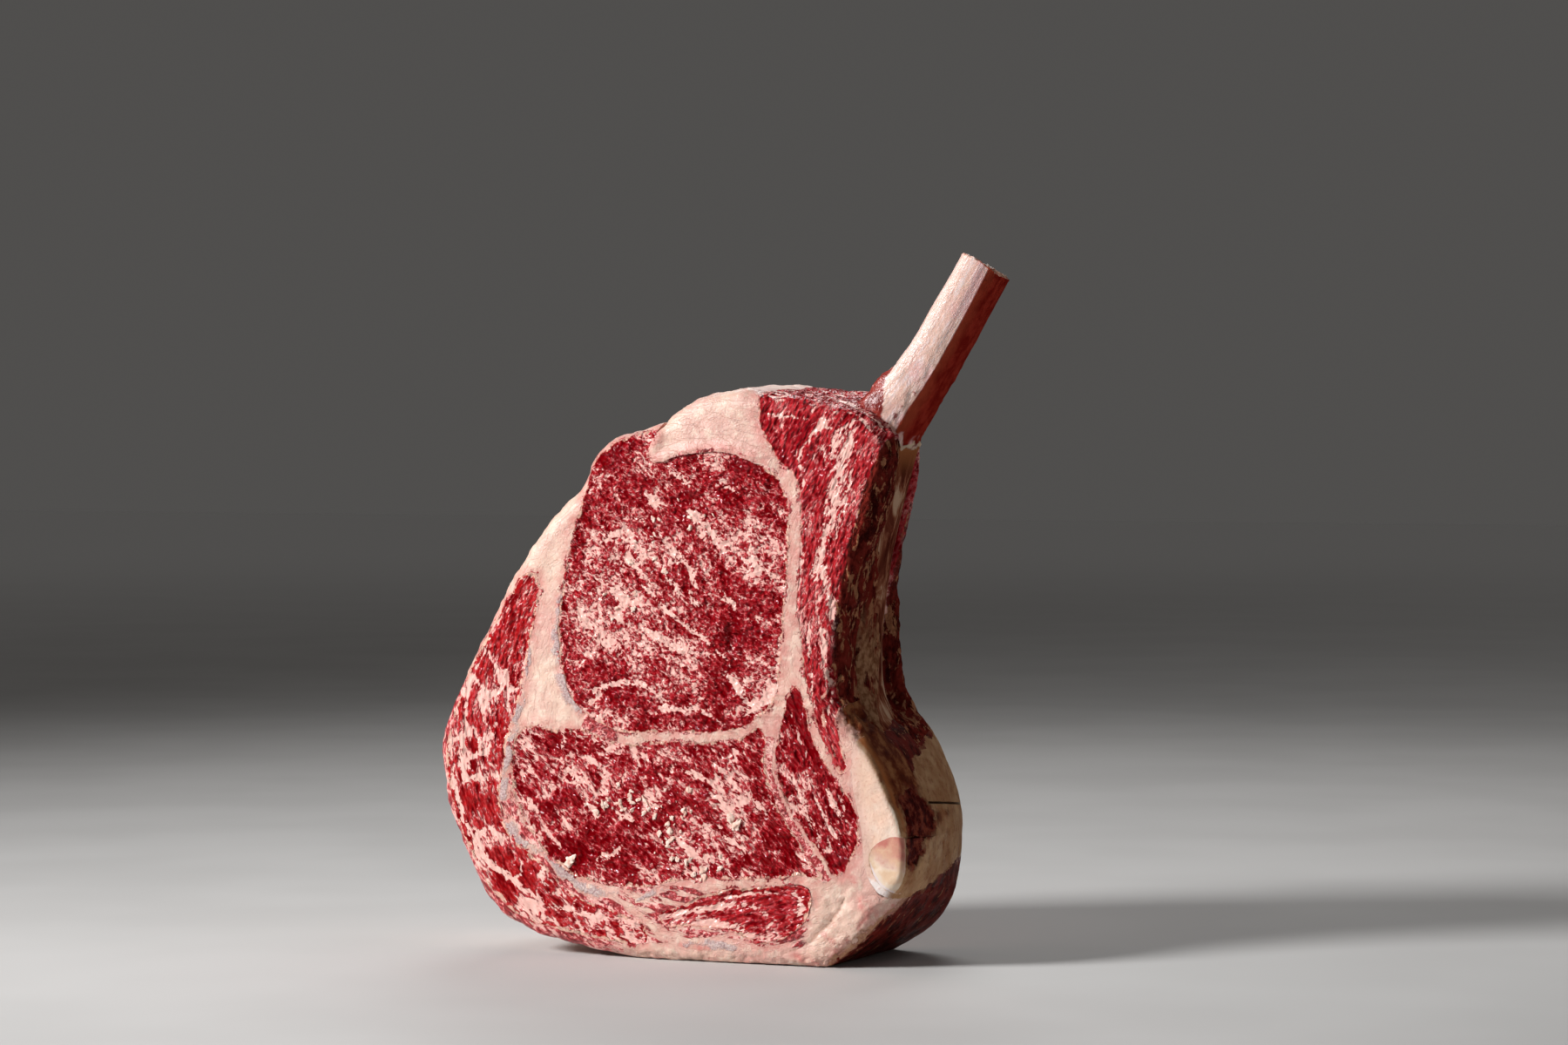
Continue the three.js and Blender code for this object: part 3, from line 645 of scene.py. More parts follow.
form = roughened(whole_form())
lines = {
    "eye": wavy(EYE, 41), "cap": wavy(CAP, 43), "outer": wavy(OUTER, 45, 0.9),
    "strap": wavy(STRAP, 47, 0.9), "multifidus": wavy(MULTIFIDUS, 49, 0.8),
    "intercostal": wavy(INTERCOSTAL, 51, 0.9), "heel": wavy(HEEL, 53, 0.8),
    "joint": wavy(FACET, 55, 0.35), "chine_front": wavy(CHINE_FRONT, 57, 0.6),
    "chine_back": wavy(CHINE_BACK, 59, 0.8),
}
tools = {name: prism("tool_" + name, lines[name]) for name in MUSCLES}
tools["heel"] = prism("tool_heel", lines["heel"], 7.0, BEYOND)
tools["joint"] = prism("tool_joint", lines["joint"], -BEYOND, 9.0)
tools["chine_front"] = prism("tool_chine_front", lines["chine_front"], -BEYOND, 4.0)
tools["chine_back"] = prism("tool_chine_back", lines["chine_back"], -10.0, 45.0, CHINE_TILT)
tools["slit"] = narrowed(prism("tool_slit", np.array(SLIT), -BEYOND, 6.0), -14, 201)
saw = saw_blade()

chine = combine(copy_of(tools["chine_front"], "chine_block"), tools["chine_back"], "UNION")
chine = combine(chine, form, "INTERSECT")
chine = combine(chine, tools["joint"], "DIFFERENCE")
chine = combine(chine, saw, "DIFFERENCE")
joint = combine(copy_of(form, "joint_disc"), tools["joint"], "INTERSECT")

muscles = {name: combine(copy_of(form, name + "_meat"), tools[name], "INTERSECT") for name in MUSCLES}
heel = combine(copy_of(form, "heel_meat"), tools["heel"], "INTERSECT")
meat = combine(muscles["intercostal"], heel, "UNION")
for name in ("chine_front", "chine_back", "joint"):
    meat = combine(meat, tools[name], "DIFFERENCE")

fat = copy_of(form, "fat_body")
for tool in tools.values():
    fat = combine(fat, tool, "DIFFERENCE")

# The lines that the lean's border with fat and bone follows
edges = dict(lines)
edges["intercostal"] = np.vstack([lines["intercostal"], lines["heel"], lines["chine_front"]])
for name, (frame_of, strokes, fatness) in MUSCLES.items():
    finish_muscle(muscles[name], edges[name], frame_of, strokes, fatness)


# y, z outlines on the rib side of the back bone, and small nicks in it
MARROW = [(-27, 60), (-20, 64), (-12, 64), (-6, 58), (-3, 54), (-5, 48), (-12, 45), (-20, 43),
          (-28, 45)]
STAIN = [(-29, 48), (-18, 47), (-16, 40), (-22, 36), (-29, 37)]
MEAT_ABOVE = [(-9, 69), (0, 73.5), (25, 79.5), (36, 82), (36, 100), (-14, 100)]
MEAT_BELOW = [(-27, 2), (-26, 16), (-21, 22), (-14, 25), (-2, 29), (12, 32.5), (34, 36), (40, 36),
              (40, -5), (-27, -5)]
GROOVE = [(-29.5, 98), (-29.5, 57), (-18, 62), (-8, 62), (-6, 74), (10, 84), (10, 98)]
SMUDGE = [(-4, 56), (12, 55), (14, 51), (4, 48), (-4, 49)]
NICKS = [([(2.7, 44.5), (2.9, 40)], (0.3, 0.6, 0.2)), ([(7, 39), (6.4, 35.5)], (0.2, 0.4, 0.2)),
         ([(-10.8, 40.5), (-10.4, 36.5)], (0.3, 0.6, 0.2))]


def finish_fat(obj):
    """Notes where the fat is grey skin, close to meat, or scraped with red shreds."""
    p, n = points_of(obj), normals_of(obj)
    flat = p[:, [0, 2]]
    x, z = flat.T
    edge = nearest(flat, np.vstack([lines[name] for name in MUSCLES]))
    eye, cap, inner = (nearest(flat, lines[name]) for name in ("eye", "cap", "multifidus"))
    ribward = nearest(flat, lines["intercostal"])
    seam = fall(edge, 0.6, 5.0)
    # Where meat shows through thin fat: left between eye and cap, beside the eye, at the
    # base, between cap and multifidus, and round the outer muscle
    thin = fall(eye + cap, 4.5, 6.5) * fall(x, -36, -28)
    upright = fall(eye + ribward, 5.5, 8.0) * smooth(z, 112, 126)
    layered = smooth(x, -48, -30) * fall(x, 38, 46) * smooth(z, 3, 7) * fall(z, 26, 29)
    beside = fall(cap + inner, 4.5, 6.0) * smooth(x, 22, 27) * smooth(inner, 0.9, 1.6)
    away = np.hypot(x + 14, z - 84)
    rim = (nearest(flat, lines["outer"]) < 6.5) * smooth(away, 62, 66) * (x < -30)
    rim = rim * fall(z, 92, 118) * (0.3 + 0.7 * smooth(np.abs(p[:, 1]), 20, 28))
    meat = np.maximum.reduce([0.95 * thin, 0.85 * beside, 0.62 * rim, 0.25 * upright, 0.52 * layered])
    face = smooth(np.abs(p[:, 1]), 27, 30)
    place = strayed(p, [0, 2], 0.8, 3, 62)
    grey = stroke_field(place, GREY) * face * (0.5 + 0.5 * smooth(bumps(p, 9, 67), -0.25, 0.1))
    meat *= fall(grey, 0.2, 0.6)
    # Red where meat rubbed off on the fat
    shreds = smooth(bumps(p, 7, 61, (1.6, 1, 1)), 0.05, 0.45) * fall(z, 10, 24)
    outside = fall(np.abs(n[:, 1]), 0.5, 0.9)
    stained = 1.2 * stroke_field(place, STAINS) * (p[:, 1] < 0)
    red = np.maximum.reduce([0.75 * seam, 0.85 * shreds * np.maximum(outside, 0.45), stained])
    crease = stroke_field(place, CREASES) * face
    # The lumpy corner below the bone, the crease in it, the fat cap's lip and the torn base
    lumpy = smooth(x, 22, 40) * fall(z, 26, 34) * face * (1 + 0.7 * smooth(x, 42, 52))
    crags = 0.5 * np.abs(bumps(p, 9, 64, (1.6, 1, 1))) + 0.5 * np.abs(bumps(p, 3.0, 65, octaves=4))
    sunk = lumpy * crags
    sunk += 0.6 * smooth(crease, 0, 0.9) - 0.2 * (grey > 0.35) * grey
    flap = fall(eye, 0.5, 4.0) * smooth(z, 174, 180)
    flap *= smooth(x, -22, -16) * fall(x, 20, 30)
    sunk -= 0.9 * flap * (p[:, 1] < -20)
    ragged = fall(z, 1.0, 7) * smooth(x, -40, -20) * face
    sunk += ragged * 0.9 * np.clip(bumps(p, 2.6, 66) + 0.3, 0, 1)
    move_points(obj, p - n * sunk[:, None])
    # What the rib side shows: dried meat and the amber-brown groove
    on_side = strayed(p, [1, 2], 1.8, 6, 73, 4)
    side = np.maximum(smooth(n[:, 0], 0.2, 0.5) * (x > 48), (x > 54) * (np.abs(p[:, 1]) < 26))
    dark = np.maximum(region(on_side, MEAT_ABOVE, 2), region(on_side, MEAT_BELOW, 4)) * side
    beside_eye = (x > 20) & (x < 60) & (z > 96) & (z < 180)
    paint(obj, "fib", np.where(beside_eye[:, None], upright_frame(p), ring_frame(p)))
    paint(obj, "groove", side * region(on_side, GROOVE, 3))
    paint(obj, "edge", edge)
    paint(obj, "meat", meat)
    paint(obj, "dark", dark)
    paint(obj, "paint", np.stack([grey, red, crease], axis=1))


finish_fat(fat)


def mark_bone(obj):
    """Notes the marrow and meat on the rib side, the amber-brown groove, a painted highlight along the
    lit corner and a painted glow just round it.
    """
    p, n = points_of(obj), normals_of(obj)
    side = np.maximum(smooth(n[:, 0], 0.3, 0.7), np.abs(p[:, 1]) < 27)
    place = strayed(p, [1, 2], 1.8, 6, 73, 4)
    red = np.maximum(region(place, MARROW, 2), region(place, STAIN, 2))
    red = side * np.maximum(red, stroke_field(p[:, [1, 2]], NICKS))
    meaty = side * np.maximum(region(place, MEAT_ABOVE, 2), region(place, MEAT_BELOW, 2))
    brown = side * np.maximum(region(place, GROOVE, 3), 0.7 * region(place, SMUDGE, 2))
    # Painted highlight: a pale band along the lit front corner, found from the normals
    pearl_and_highlight = smooth(n[:, 0], 0.15, 0.4) * fall(n[:, 0], 0.7, 0.9) * smooth(-n[:, 1], 0.3, 0.6)
    pearl_and_highlight *= smooth(p[:, 2], 44, 50) * fall(p[:, 2], 56, 64)
    front = fall(p[:, 1], -31.0, -29.0)
    gristle = front * fall(p[:, 2], 30, 35)
    # Painted glow: brighter amber just round the front corner on the rib side, as if light came through
    # the bone
    glow = (1 - front) * fall(p[:, 1], -30, -25) * smooth(p[:, 2], 44, 56)
    inner_edge = nearest(p[:, [0, 2]], lines["chine_front"])
    fatty = fall(n[:, 0], 0.3, 0.7) * fall(inner_edge, 0, 5)
    rough = 0.9 * np.abs(bumps(p, 5, 72)) - 1.0
    move_points(obj, p + n * (smooth(red, 0.4, 0.8) * rough)[:, None])
    paint(obj, "side", side)
    paint(obj, "dark", meaty)
    paint(obj, "corner", np.stack([fatty, glow, gristle], axis=1))
    paint(obj, "paint", np.stack([red, brown, pearl_and_highlight], axis=1))


def mark_disc(obj):
    """Notes the front of the joint's disc, its pale lower rim and the flush above."""
    p = points_of(obj)
    x, y, z = p.T
    front = fall(y, -30.5, -28.5)
    rim = fall(nearest(p[:, [0, 2]], lines["joint"]), 0.3, 1.8)
    rim *= fall(z + 0.5 * (x - 66), 36, 41)
    flush = smooth(z + 0.4 * (x - 66), 33, 47)
    paint(obj, "disc", np.stack([front, front * rim, front * flush], axis=1))


mark_bone(chine)
mark_bone(joint)
mark_disc(joint)


# ---------------------------------------------------------------- the rib
def rib_form():
    """The rib: a rounded oblong swept down its curve, with its top end sawn a little askew.
    Also gives each point's run along the rib, turn round it and side (-1 faces +X)."""
    axis = evenly(spline(RIB, closed=False, per=24), 0.8, closed=False)
    around = np.linspace(0, 2 * math.pi, 120, endpoint=False)
    side, wide = (np.sign(v) * np.abs(v) ** 0.55 for v in (np.cos(around), np.sin(around)))
    down = np.gradient(axis[:, :2], axis=0)
    down /= np.linalg.norm(down, axis=1)[:, None]
    run = np.concatenate([[0], np.cumsum(np.linalg.norm(np.diff(axis[:, :2], axis=0), axis=1))])
    rows, fibres = [], []
    for (x, z, half, width), (dx, dz), at in zip(axis, down, run):
        across = np.array([dz, 0, -dx])
        ring = np.array([x + TO_MIDDLE, 0, z]) + side[:, None] * half * across
        ring[:, 1] = wide * width
        slant = 2.0 * float(smooth(z, 176, 190))
        ring[:, 1] += slant * (1 - side) / 2 * np.clip(-wide, 0, 1)
        lean = 0.12 * (ring[:, 1] + width) + 0.8 * np.clip(-side - 0.5, 0, 1) - 0.7 * (1 - side**2)
        lean *= math.exp(-at / 8)
        ring[:, [0, 2]] += lean[:, None] * [dx, dz]
        rows.append(ring)
        fibres.append(np.stack([np.full(len(ring), at), around * 15, side], axis=1))
    shares = (0.2, 0.4, 0.6, 0.8, 0.93)

    def end_rows(ring):
        middle = ring.mean(axis=0)
        return [middle[None]] + [middle + (ring - middle) * share for share in shares]

    top, foot = ([marks[:1], *[marks] * len(shares)] for marks in (fibres[0], fibres[-1]))
    marks = [*top, *fibres, *foot[::-1]]
    obj = mesh_object("rib", *skin([*end_rows(rows[0]), *rows, *end_rows(rows[-1])[::-1]]))
    return obj, np.vstack(marks)


# How far from the front the dried meat covers the rib, at each height
CRUST_Z = [84, 90, 97, 110, 126, 145, 157, 170, 186]
CRUST_Y = [-8, -3, 3, 6, 0, -7, -14, -20, -28]


def finish_rib():
    """Roughens the rib, spreads its foot and notes what covers it where."""
    obj, fibres = rib_form()
    p, n = points_of(obj), normals_of(obj)
    x, y, z = p.T
    at, side = fibres[:, 0], fibres[:, 2]
    front = smooth(np.abs(n[:, 1]), 0.55, 0.8)
    inner = (1 - front) * (side < 0)
    # Bare scraped bone above this ragged height, wrapped in brown skin below it
    edge = 184.5 + 2.0 * bumps(p, 8, 81, octaves=2) + 1.5 * bumps(p, 2.5, 80, octaves=2)
    wrapped = fall(z - edge, -0.5, 0.4)
    bare = 1 - wrapped
    low = smooth(-z, -228, -204)
    scraped = 0.3 * bumps(p, 5, 82, (1, 1, 2.0)) + 0.22 * bumps(p, 1.9, 83, (1.0, 1.0, 1.4))
    amount = scraped * (0.3 + 0.9 * low) * bare
    amount += wrapped * (0.5 + 0.3 * bumps(p, 8, 84, (1, 1, 3)))
    # A ridge along the bone's +X edge, and a hollow beside it
    ridge = np.exp(-((side + 0.9) / 0.07) ** 2) * front
    hollow = np.exp(-((side + 0.55) / 0.2) ** 2) * front
    amount += (0.45 * ridge - 0.4 * hollow) * bare
    # Shreds of meat left on the foot
    reach = 0.6 - 0.6 * smooth(-z, -212, -196)
    shred = smooth(-z, -217, -209) * smooth(z, 188, 194) * smooth(side - reach, 0.0, 0.4)
    amount += shred * (0.2 + 1.1 * np.clip(bumps(p, 3.4, 85, (1, 1, 1.5)) + 0.15, 0, 1))
    # The sawn end, with its frayed rim and its pits
    saw = (at < 0.05) * smooth(n[:, 2], 0.5, 0.8)
    rim = np.exp(-(at / 1.0) ** 2)
    pits = saw * (0.6 * np.minimum(bumps(p, 1.8, 87), 0.05))
    amount = amount * (1 - saw) + rim * (0.8 * bumps(p, 1.3, 86) - 0.1)
    # The raised end of the brown skin, and the dried meat over the rib's front part
    membrane = np.exp(-((z - edge) / 1.3) ** 2)
    amount += 0.5 * membrane
    covered = np.interp(z, CRUST_Z, CRUST_Y) + 3 * bumps(p, 9, 92, octaves=4)
    crust = smooth(covered - y, -1.0, 1.0) * (z < 187) * (side < 0)
    amount += crust * (0.9 * np.abs(bumps(p, 5, 88, (1, 1, 1.6))) + 0.1)
    moved = p + n * (np.minimum(amount, 1.3) + pits)[:, None]
    moved[:, 0] -= 3.0 * smooth(side, 0.2, 0.9) * smooth(-z, -214, -198) * smooth(z, 186, 192)
    move_points(obj, within_box(moved))

    red = inner * bare * smooth(z + 5 * bumps(p, 7, 93, octaves=3), 183, 190)
    red = np.maximum(red, smooth(shred, 0.15, 0.5) * smooth(bumps(p, 4, 90), -0.75, -0.35))
    spots = smooth(bumps(p, 4.0, 91), 0.2, 0.5) * smooth(-z, -207, -203) * bare * front
    red = np.maximum(red, 0.6 * spots)
    blush = smooth(bumps(p, 9, 89, (1, 1, 2)), -0.1, 0.45) * smooth(-side, -0.6, 0.4)
    tanned = fall(z, 108, 132)
    warm = smooth(z, 172, 184) * wrapped
    paint(obj, "fib", fibres)
    paint(obj, "paint", np.stack([red, wrapped, saw], axis=1))
    paint(obj, "zone", np.stack([blush, warm, membrane], axis=1))
    paint(obj, "cover", np.stack([crust, tanned, inner], axis=1))
    # Painted glow: where the rib side's red turns brighter towards the front edge
    paint(obj, "glow", inner * fall(y + 2 * bumps(p, 8, 94), -15, -5))
    return obj


rib = finish_rib()


# ---------------------------------------------------------------- loose crumbs of fat
# The larger crumbs: x, z and radius. The clusters: x, z, how many, and their spread in x and z
CRUMBS = [(-50.5, 34.5, 2.2), (-43, 25, 1.2), (14, 49.5, 1.9), (12, 52, 1.2), (-27, 143, 1.0)]
CLUSTERS = [
    (-27, 56.5, 26, 7, 3), (-11.5, 44.5, 14, 3.5, 3), (1, 34.5, 14, 5.5, 2.5), (-6, 56, 10, 6, 4),
    (-24, 147, 8, 7, 6), (-28, 132, 8, 6, 6), (-4, 160, 8, 8, 4),
]


def crumbs():
    """Flat ragged crumbs of fat that the saw left on the cut face."""
    spots = list(CRUMBS)
    draw = np.random.default_rng(7)
    for cx, cz, count, wide, tall in CLUSTERS:
        for dx, dz in draw.normal(0, (wide, tall), (count, 2)):
            spots.append((cx + dx, cz + dz, draw.uniform(0.3, 0.95)))
    ball = bmesh.new()
    bmesh.ops.create_icosphere(ball, subdivisions=3, radius=1)
    unit = np.array([v.co for v in ball.verts])
    tri = np.array([[v.index for v in f.verts] for f in ball.faces])
    ball.free()
    verts, faces = [], []
    for k, (x, z, size) in enumerate(spots):
        lump = np.maximum(0.4, 1 + 0.9 * bumps(unit, 0.9, 100 + k, octaves=3))
        flake = unit * lump[:, None] * [draw.uniform(0.9, 1.7), 0.4, draw.uniform(0.6, 1.1)] * size
        turn, tip = draw.uniform(0, math.pi), draw.uniform(-0.5, 0.5)
        spin = np.array(Matrix.Rotation(turn, 3, "Y") @ Matrix.Rotation(tip, 3, "X"))
        faces.append(tri + len(verts) * len(unit))
        verts.append(flake @ spin.T + [x, -THICKNESS / 2 + 0.1, z])
    return mesh_object("fat_crumbs", np.vstack(verts), np.vstack(faces).tolist())


scraps = crumbs()


# ---------------------------------------------------------------- finishes
class Finish:
    """A material's nodes, with short ways to add them. Places and sizes are in mm."""

    def __init__(self, name):
        self.material = bpy.data.materials.new(name)
        self.material.use_nodes = True
        self.tree = self.material.node_tree
        self.tree.nodes.clear()
        place = self.node("ShaderNodeTexCoord").outputs["Object"]
        self.place = self.node(
            "ShaderNodeVectorMath", {0: place, "Scale": 1000.0}, operation="SCALE").outputs[0]

    def node(self, kind, inputs=None, **settings):
        made = self.tree.nodes.new(kind)
        for key, value in settings.items():
            setattr(made, key, value)
        for key, value in (inputs or {}).items():
            self.join(made.inputs[key], value)
        return made

    def join(self, socket, value):
        if isinstance(value, bpy.types.NodeSocket):
            self.tree.links.new(value, socket)
        elif socket.type == "RGBA" and len(value) == 3:
            socket.default_value = (*value, 1)
        else:
            socket.default_value = value

    def vector(self, name):
        return self.node("ShaderNodeAttribute", attribute_name=name).outputs["Vector"]

    def value(self, name):
        return self.node("ShaderNodeAttribute", attribute_name=name).outputs["Fac"]

    def masks(self, name="paint"):
        return self.node("ShaderNodeSeparateXYZ", {0: self.vector(name)}).outputs

    def math(self, operation, a, b=0.0, c=0.0):
        return self.node("ShaderNodeMath", {0: a, 1: b, 2: c}, operation=operation).outputs[0]

    def noise(self, at, size, seed=0, stretch=(1, 1, 1), detail=2.0, rough=0.5, warp=0.0):
        """Value about 0.5, with lumps about `size` mm across, drawn out by `stretch`."""
        moved = self.node("ShaderNodeMapping", {
            "Vector": at, "Location": (seed * 3.71, seed * 1.37, seed * 5.13),
            "Scale": tuple(1 / (size * s) for s in stretch),
        }).outputs[0]
        return self.node("ShaderNodeTexNoise", {
            "Vector": moved, "Scale": 1.0, "Detail": detail, "Roughness": rough, "Distortion": warp,
        }).outputs["Fac"]

    def web(self, at, size, seed, stretch=(1, 1, 1)):
        """1 on the walls of uneven cells about `size` mm across, 0 inside them."""
        moved = self.node("ShaderNodeMapping", {
            "Vector": at, "Location": (seed * 2.31, seed * 4.07, seed * 1.93),
            "Scale": tuple(1 / (size * s) for s in stretch),
        }).outputs[0]
        sway = self.node("ShaderNodeTexNoise", {"Vector": moved, "Scale": 1.6, "Detail": 3.0})
        warped = self.node("ShaderNodeVectorMath", {
            0: sway.outputs["Color"], 1: (0.9, 0.9, 0.9), 2: moved}, operation="MULTIPLY_ADD").outputs[0]
        wall = self.node("ShaderNodeTexVoronoi", {"Vector": warped, "Scale": 1.0},
                         feature="DISTANCE_TO_EDGE").outputs["Distance"]
        return self.band(wall, 0.0, 0.16, 1.0, 0.0)

    def band(self, value, low, high, start=0.0, end=1.0):
        """From `start` to `end` while the value runs from low to high, with soft ends."""
        return self.node("ShaderNodeMapRange", {
            "Value": value, "From Min": low, "From Max": high, "To Min": start, "To Max": end,
        }, interpolation_type="SMOOTHSTEP").outputs["Result"]

    def ridge(self, value, width):
        """1 where a noise value crosses its middle, falling to 0 at `width` from it."""
        gap = self.math("ABSOLUTE", self.math("SUBTRACT", value, 0.5))
        return self.band(gap, 0.0, width, 1.0, 0.0)

    def torn(self, mask, cloud, weight, low, high):
        """A painted mask whose border a noise makes ragged."""
        return self.band(self.sum_of((mask, 1.0), (cloud, weight)), low, high)

    def mix(self, share, a, b):
        return self.node("ShaderNodeMix", {0: share, 6: a, 7: b}, data_type="RGBA").outputs[2]

    def tones(self, value, a, b, low=0.35, high=0.65):
        """Colour that wanders from a to b with a noise."""
        return self.mix(self.band(value, low, high), a, b)

    def ramp(self, value, *stops):
        """Colour of a value from 0 to 1, read off the given (place, colour) stops."""
        made = self.node("ShaderNodeValToRGB", {"Fac": value})
        steps = made.color_ramp.elements
        for place, colour in stops[1:-1]:
            steps.new(place)
        for step, (place, colour) in zip(steps, stops):
            step.position, step.color = place, (*colour, 1)
        return made.outputs["Color"]

    def all_of(self, *values):
        """The values multiplied together."""
        out = values[0]
        for value in values[1:]:
            out = self.math("MULTIPLY", out, value)
        return out

    def sum_of(self, *pairs):
        """The values, each times its weight, added up."""
        out = None
        for value, weight in pairs:
            out = self.math("MULTIPLY", value, weight) if out is None \
                else self.math("MULTIPLY_ADD", value, weight, out)
        return out

    def bump(self, height, depth):
        """Normals for a height that runs from 0 to 1 over `depth` mm."""
        return self.node("ShaderNodeBump", {
            "Strength": 1.0, "Distance": depth / 1000, "Height": height}).outputs[0]

    def surface(self, glow=None, **sockets):
        """The finished material. `glow` is the share of light that goes into the skin, and
        how far red, green and blue spread there, in metres."""
        values = {key.replace("_", " "): value for key, value in sockets.items()}
        if glow:
            weight, spread = glow
            values.update({
                "Subsurface Weight": weight, "Subsurface Radius": spread, "Subsurface Scale": 1.0})
        values["Coat Normal"] = values["Normal"]
        shader = self.node("ShaderNodeBsdfPrincipled", values)
        end = self.node("ShaderNodeOutputMaterial")
        self.tree.links.new(shader.outputs[0], end.inputs["Surface"])
        return self.material


def marbling(f, fib, thick, white, deep, bright, stretch, size, web, seed, blur=0.18):
    """Colour, height and crevice mask of wet marbled lean. The colour holds painted shade: it
    darkens to deep red in the crevices of the relief. `thick` is how much fat runs through
    it, from 0 to 1, `white` is 1 in the drawn strokes of fat and 0.5 at their edges, and
    `web` is the weight of the fat between the bundles of meat. `blur` is how softly fat and
    meat run into each other."""
    tall, short = (stretch, 4.0, 1.0), (0.6 + 0.4 * stretch, 2.0, 1.0)
    flesh = f.noise(fib, size, seed + 1, short, 4.0, 0.76, 0.6)
    grit = f.noise(fib, 1.1, seed + 10, short, 1.0, 0.5, 0.7)
    thread = f.ridge(f.noise(fib, 2.4, seed + 2, short, 2.0, 0.5, 1.0), 0.05)
    branch = f.ridge(f.noise(fib, 5.0, seed + 5, tall, 3.0, 0.55, 1.2), 0.04)
    wide = f.noise(f.place, 20.0, seed + 4, detail=1.0)
    walls = f.all_of(f.web(fib, 1.2 * size, seed + 6, short), f.band(wide, 0.35, 0.6, 0.4, 1.0))
    cover = f.sum_of((flesh, 1.0), (wide, 0.4), (grit, 0.6), (thread, 0.06), (branch, 0.09), (walls, web),
                     (f.math("SUBTRACT", thick, 0.5), 0.5))
    stroke = f.band(f.sum_of((white, 0.6), (flesh, 1.0), (grit, 0.5)), 0.95, 1.35, 0.0, 0.42)
    share = f.band(f.math("ADD", stroke, cover), 1.055 - blur, 1.055 + blur)
    colour = f.ramp(share, (0.0, deep), (0.25, bright), (0.45, (0.52, 0.040, 0.050)),
                    (0.62, (0.68, 0.13, 0.135)), (0.8, (0.83, 0.29, 0.27)), (1.0, (0.92, 0.53, 0.46)))
    fine = f.noise(fib, 1.25, seed + 15, short, 0.0, 0.5, 0.3)
    clods = f.noise(fib, 2.7, seed + 16, tall, 1.0, 0.5, 0.5)
    height = f.all_of(f.sum_of((fine, 0.9), (clods, 1.1)), f.band(share, 0.4, 1.0, 1.0, 0.6))
    # Painted shade: in the crevices of the relief the colour is darkened towards deep red
    crevice_shade = f.band(f.sum_of((fine, 0.5), (clods, 0.5)), 0.38, 0.50, 1.0, 0.0)
    crevice_shade = f.all_of(crevice_shade, f.band(share, 0.4, 0.8, 1.0, 0.15))
    colour = f.mix(f.all_of(crevice_shade, 0.8), colour, (0.14, 0.0002, 0.002))
    return colour, height, crevice_shade


def crust(f, seed, bare=0.54):
    """Colour of meat that has dried dark, with tan flakes where a noise is above `bare`."""
    craggy = f.noise(f.place, 4.0, seed, (1, 1, 2.0), 4.0, 0.65)
    red = f.tones(craggy, (0.045, 0.005, 0.004), (0.19, 0.020, 0.014), 0.36, 0.6)
    tan = f.mix(f.noise(f.place, 1.5, seed + 1), (0.28, 0.085, 0.04), (0.52, 0.25, 0.13))
    flakes = f.band(f.noise(f.place, 3.2, seed + 2, (1, 1, 2.2), 4.0, 0.65, 0.5), bare, bare + 0.045)
    return f.mix(flakes, red, tan)


def amber(f, seed):
    """Colour of the dark amber-brown skin in the groove beside the rib."""
    cloud = f.noise(f.place, 6.0, seed, detail=4.0, rough=0.6)
    return f.ramp(f.band(cloud, 0.3, 0.7), (0.0, (0.08, 0.010, 0.005)), (0.5, (0.19, 0.042, 0.016)),
                  (1.0, (0.40, 0.16, 0.065)))


def lean_finish(name, deep, bright, stretch, size=4.6, web=0.12, seed=0, bays=7.0, blur=0.18):
    """Wet marbled lean, with bays of fat in its edge and dried brown on the rib side."""
    f = Finish(name)
    masks, edge = f.masks(), f.value("edge")
    colour, height, crevice_shade = marbling(
        f, f.vector("fib"), masks[1], masks[0], deep, bright, stretch, size, web, seed, blur)
    bay = f.noise(f.place, 4.5, seed + 10, detail=4.0, rough=0.7)
    bay = f.math("MULTIPLY_ADD", bay, bays, -0.43 * bays)
    rind = f.band(f.math("SUBTRACT", edge, bay), 0.0, 0.35, 1.0, 0.0)
    colour = f.mix(rind, colour, f.tones(bay, (0.66, 0.27, 0.22), (0.76, 0.44, 0.34), 0.2, 0.9))
    dry = f.torn(masks[2], f.noise(f.place, 3.0, seed + 11, detail=3.0), 1.1, 0.9, 1.15)
    colour = f.mix(dry, colour, crust(f, seed + 12))
    wet = f.band(f.noise(f.place, 8.0, seed + 13), 0.35, 0.65, 0.26, 0.40)
    rough = f.math("MULTIPLY_ADD", masks[2], 0.2, wet)
    shine = f.all_of(f.math("MULTIPLY_ADD", crevice_shade, -0.75, 0.75), f.band(masks[2], 0.0, 1.0, 1.0, 0.06))
    return f.surface(
        Base_Color=colour, Roughness=rough, Normal=f.bump(height, 1.45),
        glow=(0.05, (0.0012, 0.0002, 0.0001)), Specular_IOR_Level=0.0,
        Coat_Weight=shine, Coat_Roughness=0.06, Coat_IOR=1.33)


